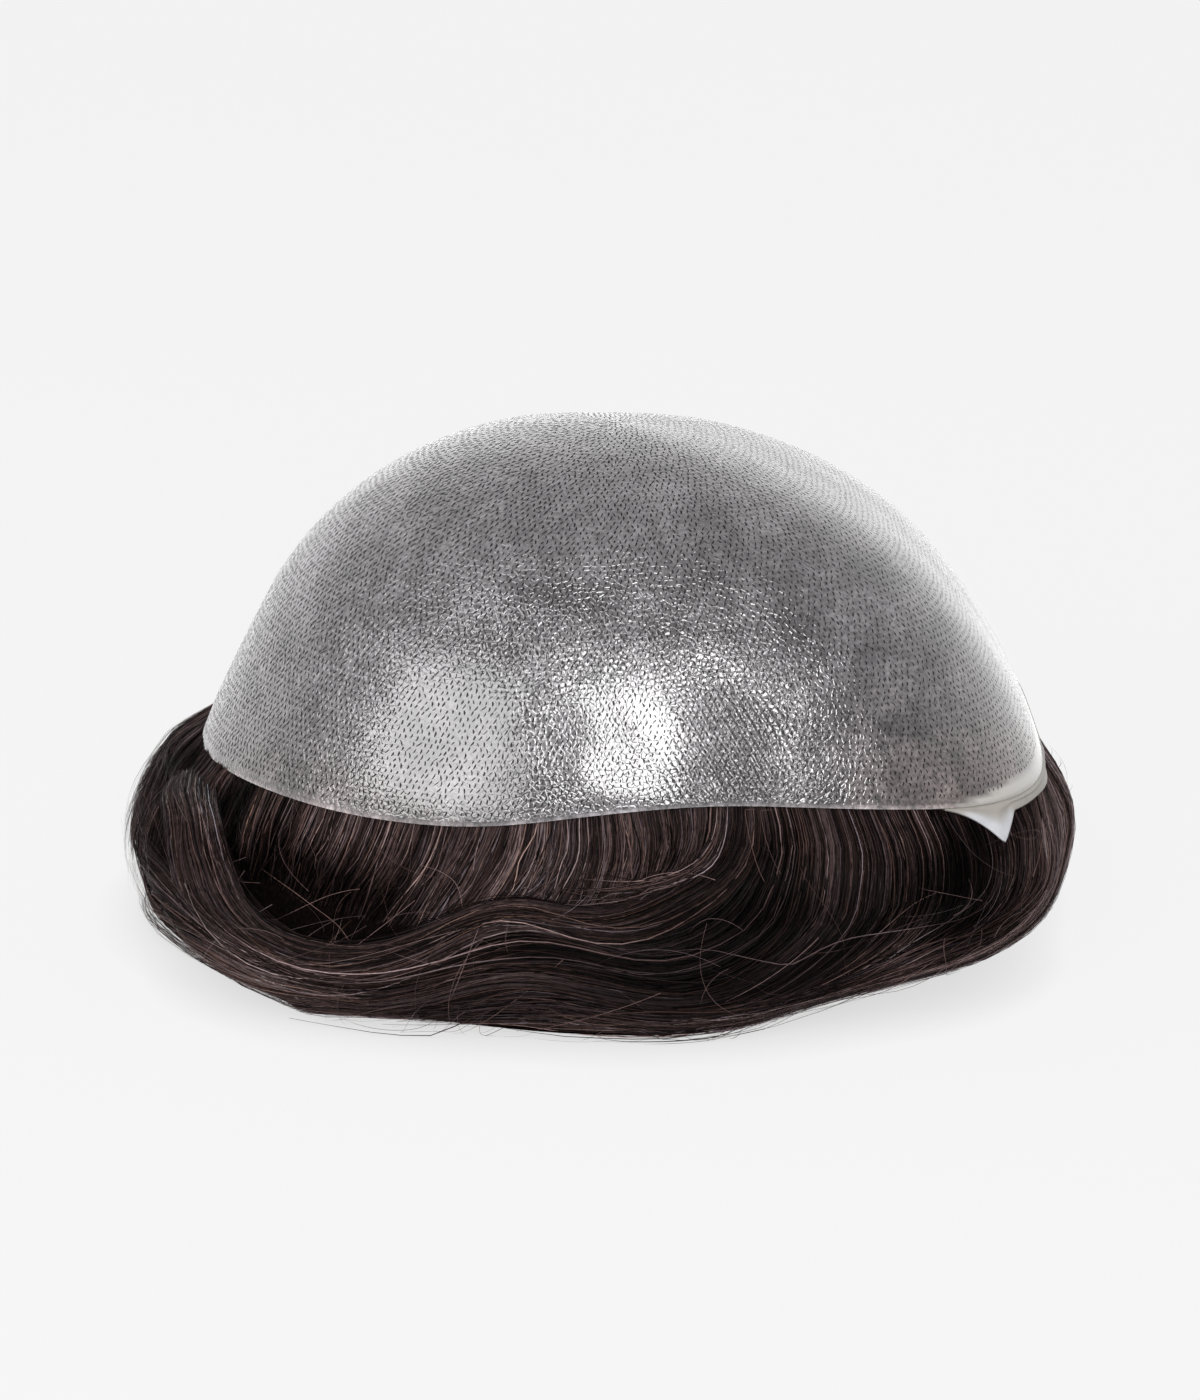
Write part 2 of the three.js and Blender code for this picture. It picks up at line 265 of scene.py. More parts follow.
# Roots start behind the film: above the rim's level and under the hair's surface.
ROOT_ABOVE, ROOT_UNDER = 1.5 * MM, 0.2 * MM
LEAST_STEP = 0.2 * MM


def on_hair(px, py):
    """Angle and height where a ray through the photograph's frame meets the hair."""
    way = pixel_ray(px, py)
    run = np.linspace(*RAY_SPAN, RAY_STEPS)[:, None]
    spot = np.array(EYE)[None, :] + run * np.array(way)[None, :]
    theta, reach = polar(spot)
    over = reach - surface.reach(theta, spot[:, 2])
    under = 2 * MM + TABLE_LEVEL - spot[:, 2]
    over = np.where(spot[:, 2] < TABLE_LEVEL, under, over)
    inside = np.where(over < 0)[0]
    first = inside[0] if len(inside) else np.argmin(over)
    return theta[first], spot[first, 2]


def under_pixel(px, py, over):
    """Angle and height of the point that is seen at a pixel, this far over the hair."""
    aim = np.array([px, py], dtype=float)
    low, high = (px - SEARCH_REACH, py - SEARCH_REACH), (px + SEARCH_REACH, py + SEARCH_REACH)
    for _ in range(SEARCH_TRIES):
        angle, height = on_hair(aim[0], aim[1])
        at = np.array([angle]), np.array([height])
        spot = surface.point(*at)[0] + surface.normal(*at)[0] * over
        miss = np.array([px, py]) - pixel_of(spot)
        aim = np.clip(aim + SEARCH_STEP * miss, low, high)
    return angle, height


def along_curve(run, values, at):
    """Smooth curve through values given at unevenly spaced places."""
    slope = np.gradient(values, run, axis=0)
    i = np.clip(np.searchsorted(run, at, side="right") - 1, 0, len(run) - 2)
    gap = (run[i + 1] - run[i])[:, None]
    t = (at - run[i])[:, None] / gap
    start = values[i] * (1 + 2 * t) * (1 - t) ** 2 + slope[i] * gap * t * (1 - t) ** 2
    end = values[i + 1] * t**2 * (3 - 2 * t) + slope[i + 1] * gap * t**2 * (t - 1)
    return start + end


def guide(rows, seen, rooted, middle):
    """A guide in even steps: angle, height and distance over the hair's surface.

    Its root lies less than half a turn from the middle angle.
    """
    out = []
    for across, along, tenths in rows:
        over = tenths * MM / 10
        if seen:
            angle, height = under_pixel(across, along, over)
        else:
            angle, height = math.radians(across), along * MM
        out.append((angle, height, over))
    if rooted:
        level = float(periodic(rim_levels, out[0][0])) + ROOT_ABOVE
        out.insert(0, (out[0][0], level, -ROOT_UNDER))
    out = np.array(out)
    out[:, 0] = np.unwrap(out[:, 0])
    out[:, 0] -= round((out[0, 0] - math.radians(middle)) / TAU) * TAU
    points = surface.point(out[:, 0], out[:, 1])
    step = np.linalg.norm(np.diff(points, axis=0), axis=1) + LEAST_STEP
    run = np.concatenate([[0], np.cumsum(step)])
    even = along_curve(run, out, np.linspace(0, run[-1], GUIDE_STEPS))
    return soften(even, GUIDE_PASSES, 0, False)


# Each guide is a row of pixels from root to tip, with the distance over the hair's surface
# in tenths of a millimetre, which is below zero where the guide lies deeper.
POCKET = [
    [(258, 780, -3), (247, 806, -15), (240, 832, -35), (238, 858, -60)],
    [(300, 798, -3), (288, 828, -15), (277, 858, -45), (270, 888, -70), (267, 914, -85)],
    [(340, 808, -3), (327, 842, -12), (312, 874, -40), (302, 905, -70), (297, 932, -85)],
    [(385, 817, -3), (370, 855, -8), (352, 888, -28), (337, 918, -60), (328, 942, -75)],
    [(439, 822, -3), (428, 858, -4), (408, 892, -14), (386, 924, -45), (372, 944, -60)],
    [(486, 823, -3), (475, 852, -3), (456, 886, -7), (430, 920, -24), (412, 942, -40)],
    [(540, 820, -3), (535, 853, -3), (518, 885, -5), (485, 918, -22)],
    [(596, 814, -3), (598, 849, -3), (591, 880, -5), (562, 922, -22)],
    [(650, 807, -3), (656, 842, -3), (650, 874, -5), (614, 922, -22)],
    [(708, 805, -3), (707, 834, -4), (694, 862, -8), (660, 898, -22)],
]
CURL = [
    [(716, 806, -3), (713, 832, -4), (700, 858, -1), (676, 880, 0), (645, 896, 0), (605, 908, -1),
     (570, 908, 2), (540, 900, 8), (509, 898, 12), (474, 907, 9), (439, 923, 6), (375, 944, 5),
     (320, 947, 5), (264, 925, 7), (233, 882, 10), (214, 838, 13), (203, 796, 16)],
    [(738, 806, -3), (738, 838, -4), (724, 868, -2), (694, 890, 0), (655, 908, 0), (612, 922, -2),
     (575, 922, 2), (540, 912, 8), (509, 908, 12), (474, 917, 9), (440, 933, 6), (375, 957, 5),
     (312, 961, 5), (252, 936, 7), (214, 890, 10), (196, 838, 13), (190, 786, 16)],
    [(760, 807, -3), (764, 842, -4), (754, 876, -4), (725, 904, -2), (680, 930, -2), (640, 942, -4),
     (600, 942, 0), (566, 930, 4), (532, 918, 8), (509, 915, 10), (474, 925, 8), (440, 942, 6),
     (385, 968, 5), (312, 973, 5), (240, 944, 7), (197, 890, 10), (179, 838, 13), (175, 788, 16)],
]
WAVE = [
    [(756, 807, -3), (760, 842, -6), (750, 877, -10), (722, 904, -10), (684, 930, -8), (648, 944, -7),
     (614, 944, -6), (582, 934, -2), (550, 924, 2), (520, 919, 5), (509, 919, 6), (474, 929, 6),
     (440, 947, 5), (392, 970, 5), (330, 979, 5), (255, 955, 6), (202, 905, 8), (176, 855, 10),
     (166, 805, 12)],
    [(768, 807, -3), (778, 842, -4), (775, 878, -6), (757, 912, -5), (727, 938, -4), (690, 955, -4),
     (652, 962, -5), (618, 956, -5), (586, 944, -3), (556, 934, 0), (532, 929, 2), (509, 927, 4),
     (474, 936, 5), (440, 955, 5), (400, 972, 5), (343, 985, 5), (263, 966, 6), (205, 918, 8),
     (172, 862, 10), (163, 815, 12)],
    [(800, 807, -3), (812, 842, -4), (813, 876, -7), (804, 908, -6), (786, 938, -4), (755, 966, -3),
     (715, 985, -3), (676, 993, -2), (640, 989, 0), (605, 979, 3), (566, 970, 7), (532, 966, 11),
     (504, 965, 12), (474, 972, 9), (440, 986, 6), (400, 998, 5), (350, 1001, 5), (280, 984, 5),
     (215, 945, 6)],
    [(840, 808, -3), (854, 845, -4), (857, 880, -3), (848, 914, -1), (828, 944, 0), (795, 974, 0),
     (750, 1000, 0), (710, 1011, 1), (670, 1014, 2), (630, 1007, 4), (589, 997, 7), (555, 988, 10),
     (520, 982, 12), (497, 984, 10), (463, 996, 7), (420, 1010, 5), (370, 1014, 4), (300, 998, 4)],
    [(889, 811, -3), (905, 842, -4), (912, 872, -3), (908, 904, 0), (893, 934, 1), (860, 962, 2),
     (815, 988, 3), (770, 1009, 3), (725, 1023, 3), (690, 1028, 3), (640, 1023, 4), (600, 1015, 6),
     (560, 1005, 8), (520, 1002, 8), (480, 1009, 5), (440, 1019, 3)],
    [(940, 813, -3), (955, 842, -6), (962, 876, -13), (955, 908, -16), (935, 936, -8), (900, 960, 0),
     (850, 982, 3), (800, 1003, 4), (750, 1019, 4), (700, 1030, 3), (650, 1030, 3), (600, 1025, 3),
     (560, 1021, 3)],
    [(1000, 812, -3), (1013, 848, -9), (1012, 884, -16), (992, 917, -8), (955, 943, 2), (905, 964, 5),
     (850, 984, 5), (800, 1002, 4), (750, 1019, 3), (700, 1031, 2)],
    [(1036, 790, -3), (1051, 828, -2), (1054, 862, 3), (1042, 895, 5), (1010, 925, 5), (958, 949, 5),
     (905, 968, 5), (850, 987, 4), (800, 1004, 3), (750, 1019, 2)],
]
LEFT_END = [
    [(206, 700, -3), (188, 722, 0), (168, 750, 2), (152, 785, 2), (146, 820, 2), (146, 850, 1)],
    [(213, 730, -3), (197, 754, 0), (180, 782, 2), (166, 817, 2), (158, 855, 0), (156, 888, 0)],
    [(226, 753, -3), (214, 778, -5), (202, 808, -10), (192, 842, -15), (186, 875, -20)],
    [(246, 775, -3), (238, 800, -15), (230, 830, -30), (224, 862, -45)],
]
# Guides by degrees and height in millimetres, with the distance over the surface in
# tenths: round the right end, the left end and the back.
RIGHT_END = [
    [(-14, 44, -3), (-15, 36, -6), (-18, 27, -3), (-26, 19, 0), (-38, 13, 2), (-52, 9, 3), (-66, 6, 3),
     (-80, 3.5, 2)],
    [(6, 44, -3), (4, 36, -6), (-1, 27, -3), (-11, 19, 0), (-25, 12, 2), (-40, 8, 3), (-55, 5, 3),
     (-72, 3, 2)],
    [(26, 44, -3), (25, 36, -6), (20, 27, -3), (10, 19, 0), (-5, 12, 2), (-22, 8, 3), (-40, 5, 3),
     (-57, 3, 2)],
]
LEFT_FOOT = [
    [(154, 44, -3), (152, 36, -2), (150, 27, 0), (149, 18, 2), (149, 10, 2), (150, 4, 0)],
    [(166, 43, -3), (165, 35, -2), (164, 26, 0), (163, 18, 2), (163, 10, 2), (164, 4, 0)],
    [(177, 42, -3), (177, 34, -2), (177, 26, 0), (177, 18, 2), (177, 10, 2), (179, 4, 0)],
    [(187, 42, -3), (187, 34, -4), (187, 26, -2), (187, 18, 0), (189, 10, 0), (192, 4, 0)],
]
BACK = [
    [(26, 44, -3), (25, 35, -6), (20, 26, -3), (10, 17, 0), (-4, 11, 2), (-18, 7, 2), (-32, 4, 2)],
    [(48, 45, -3), (47, 36, -6), (42, 26, -3), (33, 18, 0), (20, 12, 2), (6, 8, 2), (-8, 5, 2)],
    [(72, 46, -3), (70, 36, -6), (64, 25, -3), (53, 18, 0), (39, 14, 3), (25, 9, 3), (11, 6, 2),
     (-2, 4, 2)],
    [(98, 46, -3), (95, 36, -6), (88, 25, -3), (76, 17, 0), (61, 14, 3), (46, 14, 4), (31, 9, 3),
     (18, 5, 2)],
    [(124, 46, -3), (121, 35, -6), (113, 24, -3), (100, 17, 0), (84, 17, 4), (68, 19, 5), (53, 15, 4),
     (39, 9, 3), (27, 5, 2)],
    [(148, 44, -3), (144, 34, -6), (136, 24, -3), (123, 17, 0), (107, 14, 3), (90, 19, 5), (74, 21, 5),
     (58, 17, 4), (44, 11, 2)],
    [(170, 42, -3), (166, 32, -4), (157, 22, 0), (143, 15, 2), (127, 12, 4), (111, 15, 5), (96, 18, 5),
     (80, 16, 3)],
    [(181, 41, -3), (178, 32, -4), (171, 22, 0), (160, 14, 2), (147, 9, 3), (133, 8, 4), (119, 9, 3)],
]
BACK_FOOT = [
    [(48, 24, -10), (36, 14, 0), (22, 8, 2), (6, 5, 2), (-9, 3, 2), (-23, 2, 1)],
    [(76, 24, -10), (64, 14, 0), (50, 8, 2), (34, 5, 2), (18, 3, 2), (4, 2, 1)],
    [(104, 24, -10), (92, 14, 0), (78, 8, 2), (62, 5, 2), (46, 3, 2), (31, 2, 1)],
    [(132, 24, -10), (120, 14, 0), (106, 8, 2), (90, 5, 2), (74, 3, 2), (59, 2, 1)],
    [(160, 24, -10), (148, 14, 0), (134, 8, 2), (118, 5, 2), (102, 3, 2), (87, 2, 1)],
    [(186, 26, -10), (176, 16, 0), (163, 9, 2), (148, 5, 2), (132, 3, 2), (117, 2, 1)],
]
# Strands along the lower edge, from the right end to the left.
LOWER_EDGE = [
    [(1012, 936, 0), (960, 960, 2), (905, 978, 2), (850, 994, 3), (790, 1012, 3), (730, 1027, 3),
     (670, 1032, 2), (610, 1031, 2), (560, 1027, 2), (500, 1022, 2), (440, 1022, 2), (380, 1014, 1)],
    [(1036, 896, 2), (992, 930, 4), (938, 954, 5), (872, 973, 5), (810, 990, 5), (750, 1008, 5),
     (690, 1019, 5), (630, 1016, 6), (570, 1004, 8), (520, 998, 8), (470, 1006, 6), (420, 1013, 4),
     (360, 1004, 3)],
    [(1026, 915, 1), (978, 944, 3), (926, 964, 4), (870, 983, 4), (810, 1002, 4), (750, 1020, 4),
     (690, 1030, 4), (630, 1029, 4), (570, 1023, 4), (520, 1017, 4), (470, 1019, 4), (410, 1020, 3),
     (350, 1012, 2)],
]
LEFT_EDGE = [
    [(360, 974, 2), (300, 962, 3), (240, 942, 3), (194, 905, 4), (165, 862, 4), (152, 815, 4),
     (149, 778, 3)],
    [(400, 1004, 2), (330, 992, 4), (258, 976, 5), (196, 940, 5), (152, 894, 5), (137, 848, 5),
     (134, 806, 4)],
    [(420, 1019, 2), (350, 1014, 4), (274, 1000, 5), (214, 972, 6), (160, 922, 6), (137, 878, 6),
     (131, 838, 4)],
]
# Long strands that cross over the fall above the crest of the wave.
SHEAF = [
    [(716, 806, -3), (714, 832, 1), (704, 854, 5), (680, 871, 9), (648, 879, 11), (601, 881, 12),
     (555, 878, 11), (528, 874, 10)],
    [(728, 806, -3), (726, 836, 1), (714, 860, 5), (686, 880, 8), (655, 893, 10), (620, 905, 10),
     (585, 909, 10), (545, 905, 9)],
]
# The end of the curl: short cut ends that stand up at the left.
CURL_END = [
    [(350, 951, -6), (290, 942, 4), (247, 908, 13), (227, 862, 20), (216, 822, 25), (210, 786, 29)],
    [(340, 960, -6), (270, 944, 4), (224, 906, 13), (206, 858, 20), (199, 812, 26), (197, 769, 31)],
    [(330, 968, -6), (252, 950, 4), (204, 906, 13), (188, 856, 20), (182, 808, 26), (183, 766, 31)],
    [(320, 976, -6), (236, 956, 3), (186, 908, 11), (170, 856, 18), (167, 812, 24), (169, 779, 28)],
]


# Painted shade where the hair lies deep and painted highlight where it catches the light:
# pixel, half width and half height in pixels, and the change of its shade.
PAINTED_LIGHT_ZONES = [
    (322, 892, 76, 34, -2.2), (256, 850, 28, 46, -1.4), (230, 800, 18, 42, -2.3),
    (190, 757, 38, 13, -1.7), (735, 900, 66, 70, -1.5), (690, 935, 80, 30, -1.0),
    (546, 950, 46, 12, -1.2), (660, 908, 44, 16, -0.4), (762, 856, 44, 30, -0.6),
    (640, 960, 50, 16, -0.8), (700, 990, 110, 18, -1.35), (958, 896, 52, 50, -2.4),
    (985, 838, 34, 22, -0.8), (860, 930, 70, 50, -0.6), (930, 830, 60, 30, -0.2),
    (520, 845, 130, 34, 0.2), (518, 905, 60, 10, 0.2), (600, 925, 40, 14, 0.1),
    (510, 974, 60, 10, 0.3), (600, 1004, 50, 10, 0.2), (880, 860, 50, 60, 0.7),
    (815, 860, 16, 50, 0.5), (230, 970, 70, 30, 0.3), (930, 962, 90, 12, 1.0),
    (640, 1016, 90, 8, 0.1), (1060, 850, 110, 80, 1.0), (150, 800, 14, 36, -0.7),
]


# Where the hair under the strands, near black with painted shade, lies back: pixel, half
# width and half height in pixels, and the depth in millimetres.
HOLLOWS = [
    (318, 882, 84, 46, 5.0), (246, 822, 34, 50, 4.0), (980, 900, 44, 48, 2.0),
    (758, 876, 60, 56, 1.2), (1052, 850, 30, 70, 1.0), (138, 840, 30, 60, 0.8),
    (176, 925, 40, 40, 1.2), (236, 972, 60, 30, 1.6), (1000, 930, 60, 24, 0.8),
]


# Pixels to a metre at the object, and how far its upright faces are foreshortened.
SCALE = 4490
UPRIGHT = 0.94


def zone_table(table):
    """Zones in pixels as angle, height, half width and half height on the hair, and gain."""
    rows = []
    for px, py, wide, high, gain in table:
        angle, height = on_hair(px, py)
        reach = float(surface.reach(np.array([angle]), np.array([height]))[0])
        rows.append((angle, height, wide / SCALE / reach, high / SCALE / UPRIGHT, gain))
    return rows


painted_light_zones, hollows = zone_table(PAINTED_LIGHT_ZONES), zone_table(HOLLOWS)


def spots(table, theta, z):
    """Sum of soft spots on the hair, at angles and heights."""
    out = np.zeros(np.shape(theta))
    for angle, height, wide, high, gain in table:
        out += gain * bell(turn_from(theta, angle) / wide) * bell((z - height) / high)
    return out


def painted_light_at(theta, z):
    """Painted shade and painted highlight of the zones, and painted shade close to the table."""
    return spots(painted_light_zones, theta, z) - 0.25 * (1 - eased(z / (10 * MM)))


# Strands.
class Family:
    """Guides side by side: a root angle gives a whole path."""

    def __init__(self, rows, seen, rooted=True, middle=270):
        paths = np.stack([guide(row, seen, rooted, middle) for row in rows])
        paths = paths[np.argsort(paths[:, 0, 0])]
        self.paths, self.roots = paths, paths[:, 0, 0]

    def path(self, root):
        count = len(self.roots)
        where = np.interp(root, self.roots, np.arange(count))
        i = np.clip(np.floor(where).astype(int), 0, count - 2)
        f = (where - i)[:, None, None]
        out = self.paths[i] * (1 - f) + self.paths[i + 1] * f
        over = root - np.clip(root, self.roots[0], self.roots[-1])
        out[:, :, 0] += over[:, None] * (1 - np.linspace(0, 1, GUIDE_STEPS)) ** 1.5
        return out


def nearest(values, centres):
    """Which of the sorted centres each value is nearest to."""
    edges = (centres[1:] + centres[:-1]) / 2
    return np.searchsorted(edges, values)


# How far a lock is off its even place, and its half width, as shares of its breadth.
LOCK_SLACK, LOCK_REACH = 0.25, 0.6
# How the strands of every family vary, with lengths in millimetres.
BUNDLE_SIDE, BUNDLE_SHADE = 0.35, 0.16
SWAY_RATES = (0.6, 2.4)
TABLE_GAPS = (0.15, 0.9)
SHADE_SPREAD = 0.75
# A few strands go astray, and many are duller than the rest.
ASTRAY, ASTRAY_LEVEL, ASTRAY_SWAY, ASTRAY_SHADE = 0.1, 0.3, 3.5, 0.5
DULL, DULL_RANGE = 0.4, (0.6, 3.0)
# Part of a strand's level that its bundle sets, and part of its layer that its root has.
BUNDLE_PART, ROOT_PART = 0.3, 0.45
# Share of the length where lift is nought, and the fine sway sideways and outwards.
LIFT_PIVOT, FINE_SIDE, FINE_RISE = 0.12, 0.25, 0.35
# Near the root a strand rises no faster than this, from this far under the surface.
ROOT_SLOPE, ROOT_SUNK = 14, 0.1


def gathered(family, count, rng, margin, locks, clump, pull):
    """Paths of strands drawn together into locks and, inside them, into bundles.

    With them come each strand's place across its lock and its bundle's level, side and shade.
    """
    low, high = family.roots[0] - margin, family.roots[-1] + margin
    root = rng.uniform(low, high, count)
    own = family.path(root)
    t = np.linspace(0, 1, GUIDE_STEPS)
    edges = np.linspace(low, high, locks + 1)
    broad = edges[1] - edges[0]
    centre = (edges[1:] + edges[:-1]) / 2 + rng.uniform(-LOCK_SLACK, LOCK_SLACK, locks) * broad
    lock = nearest(root, centre)
    off = np.clip((root - centre[lock]) / (LOCK_REACH * broad), -1, 1)
    bundles = max(2, count // clump)
    middle = np.sort(rng.uniform(low, high, bundles))
    bundle = nearest(root, middle) + rng.integers(-2, 3, count)
    bundle = np.clip(bundle, 0, bundles - 1)
    level = rng.uniform(0, 1, bundles)[bundle]
    side = rng.normal(0, BUNDLE_SIDE, bundles)[bundle]
    shade = rng.normal(0, BUNDLE_SHADE, bundles)[bundle]
    path = own + (family.path(centre)[lock] - own) * (pull[0] * eased(t))[None, :, None]
    path += (family.path(middle)[bundle] - path) * (pull[1] * eased(1.4 * t))[None, :, None]
    return path, off, level, side, shade


def cut_to(path, end, steps):
    """Even steps from the root to a share of each path, and the share at each step."""
    share = np.linspace(0, 1, steps)[None, :] * end[:, None]
    at = share * (GUIDE_STEPS - 1)
    k = np.clip(np.floor(at).astype(int), 0, GUIDE_STEPS - 2)
    f = (at - k)[:, :, None]
    rows = np.arange(len(path))[:, None]
    return path[rows, k] * (1 - f) + path[rows, k + 1] * f, share


def grow(family, count, seed, steps, locks, cut, lift, margin=0.0, clump=5, deep=2.2,
         proud=0.0, wave=0.4, pull=(0.10, 0.22), round_off=1.2, lean=0.0, painted_light_weight=1.0,
         shift=0.0, under=1.0):
    """Strands of one family: positions, normals, shades, shares of length, how deep each is for
    painted shade.

    Roots reach a margin in radians past the outer guides, and about clump strands make a
    bundle. Each strand is cut to a share of its path. Lengths in millimetres: it lies from
    proud over the guide to deep under it, rises by lift towards the tip, falls away by
    round_off at the sides of its lock, leans out at the tip and sways by wave. Deeper strands
    get painted shade, in the share given by under.
    """
    rng = np.random.default_rng(seed)
    path, off, bundle_level, bundle_side, bundle_shade = gathered(
        family, count, rng, margin, locks, clump, pull)
    path, share = cut_to(path, rng.uniform(*cut, count), steps)
    theta, z, over = path[:, :, 0], path[:, :, 1], path[:, :, 2]
    point, normal = surface.point(theta, z), surface.normal(theta, z)
    along = unit(np.gradient(point, axis=1))
    side = np.cross(normal, along)
    level = BUNDLE_PART * bundle_level + (1 - BUNDLE_PART) * rng.uniform(0, 1, count)
    astray = rng.uniform(0, 1, count) < ASTRAY
    level[astray] *= ASTRAY_LEVEL
    layer = proud - (deep + proud) * level
    rise = over + MM * layer[:, None] * (ROOT_PART + (1 - ROOT_PART) * share)
    rise -= MM * round_off * (off**2)[:, None] * eased(0.3 + share)
    rise += MM * lift * (share - LIFT_PIVOT)
    rise = rise + MM * lean * share**2 * rng.uniform(0, 1, count)[:, None]
    phase, rate = rng.uniform(0, TAU, (3, count, 1)), rng.uniform(*SWAY_RATES, (3, count, 1))
    size = np.abs(rng.normal(0, wave, (2, count, 1))) * MM
    size[0, astray] *= ASTRAY_SWAY
    sway = size[0] * share * (np.sin(TAU * rate[0] * share + phase[0]) - np.sin(phase[0]))
    sway += MM * bundle_side[:, None] * eased(share)
    sway += FINE_SIDE * size[1] * np.sin(TAU * 3 * rate[1] * share + phase[1])
    rise = rise + FINE_RISE * size[1] * np.sin(TAU * rate[2] * share + phase[2]) * share
    rise = np.minimum(rise, MM * (ROOT_SLOPE * share - ROOT_SUNK))
    point = point + side * sway[..., None] + normal * rise[..., None]
    floor = MM * rng.uniform(*TABLE_GAPS, count)[:, None]
    point[:, :, 2] = np.maximum(point[:, :, 2], floor)
    dull = (rng.uniform(0, 1, count) < DULL) * rng.uniform(*DULL_RANGE, count)
    # Strands at the sides of a lock get painted shade.
    shade = rng.normal(shift - 0.05, SHADE_SPREAD, count) + bundle_shade - 0.2 * off**2 - dull
    shade[astray] += ASTRAY_SHADE
    # The zones add painted shade and painted highlight, in the share given for the family.
    shade = shade[:, None] + painted_light_weight * painted_light_at(theta, z)
    return point, normal, shade, share, level * under


LOOSE_STEPS, LOOSE_SPREAD = 14, 0.35
# Bend of a loose strand that comes down to the table, and its clearances.
TABLE_BEND, LEAST_HEIGHT, LEAST_GAP, UNDER_RIM = 2.4 * MM, 0.4 * MM, 0.3 * MM, 1.0 * MM


def loose(count, seed, angles, heights, length, bend, rise, shift, way=(-70, 70), start=0.3):
    """Single strands that leave the flow: shallow arcs on or just over the surface.

    Angles and ways in degrees, bend in radians, and the rest in millimetres: the height and
    length of a strand, how far its ends stand off the hair, and how far its arc rises.
    """
    rng = np.random.default_rng(seed)

    def each(limits):
        return rng.uniform(*limits, count)[:, None]

    theta = np.radians(each(angles))
    z, long = MM * each(heights), MM * each(length)
    head = np.radians(each(way))
    turn = each((-1, 1)) * bend
    share = np.broadcast_to(np.linspace(0, 1, LOOSE_STEPS)[None, :], (count, LOOSE_STEPS))
    aim = head + turn * share
    step = long / (LOOSE_STEPS - 1)
    across = -np.cumsum(np.cos(aim) * step, 1)
    upward = np.cumsum(np.sin(aim) * step, 1)
    # A strand that comes down to the table bends softly along it.
    fallen = z + upward
    height = np.maximum((fallen + np.hypot(fallen, TABLE_BEND)) / 2, LEAST_HEIGHT)
    height = np.minimum(height, periodic(rim_levels, theta) - UNDER_RIM)
    angle = theta + across / surface.reach(theta, z)
    point, normal = surface.point(angle, height), surface.normal(angle, height)
    lift = each(rise) * MM
    arch = np.sin(math.pi * share * each((0.45, 1.0)))
    point = point + normal * (start * MM + (lift - start * MM) * arch)[..., None]
    point[:, :, 2] = np.maximum(point[:, :, 2], LEAST_GAP)
    shade = np.broadcast_to(rng.normal(shift, LOOSE_SPREAD, count)[:, None], share.shape)
    return point, normal, shade, share, np.zeros(count)


HAIR_TONE = np.array([0.0640, 0.0408, 0.0392])
# How the hue changes from strand to strand, and how it greys at lightened tips and, as painted sheen,
# on bright strands.
WARM_HUE, TIP_AND_SHEEN_HUE = np.array([0.07, 0.0, -0.09]), np.array([-0.02, 0.12, 0.14])
BRIGHTEST = 1.1
# Light that reaches the deepest strands, and how fast it fades on the way down.
DEEP_LIGHT, DEEP_FADE = 0.02, 2.6
# Shares of the length where tips begin to grow pale and to taper, and what a taper takes.
PALE_FROM, TAPER_FROM, TAPER = 0.74, 0.7, 0.75
# Power that makes thin strands more frequent than broad ones.
WIDTH_SKEW = 1.3
# How far the normals of a ribbon's two edges lean apart, and its spread of rolls in radians.
ROUNDNESS, ROLL = 0.75, 0.8


def strand_tones(shade, level, run, lighten, warm):
    """Colour along the strands: painted shade deep down, and greyer towards the tips if lightened."""
    bright = np.exp(np.minimum(shade, BRIGHTEST))
    bright *= DEEP_LIGHT + (1 - DEEP_LIGHT) * (1 - level[:, None]) ** DEEP_FADE
    grey = lighten * eased((run - PALE_FROM) / (1 - PALE_FROM))
    # Greyer at lightened tips, and on bright strands as painted sheen.
    grey_and_sheen = grey + eased(shade)
    hue = 1 + WARM_HUE * warm[..., None] + TIP_AND_SHEEN_HUE * grey_and_sheen[..., None]
    tone = HAIR_TONE * hue * (bright * (1 + grey))[..., None]
    return np.concatenate([tone, np.ones((*shade.shape, 1))], -1)


def strand_cells(index, across, run):
    """Each strand's own cell on the flat map of its piece."""
    u = ((index % across)[:, None, None] + np.array([0.25, 0.75])[None, None, :]) / across
    v = ((index // across)[:, None, None] + 0.1 + 0.8 * run[:, :, None]) / across
    return np.stack(np.broadcast_arrays(u, v), -1).reshape(-1, 2)


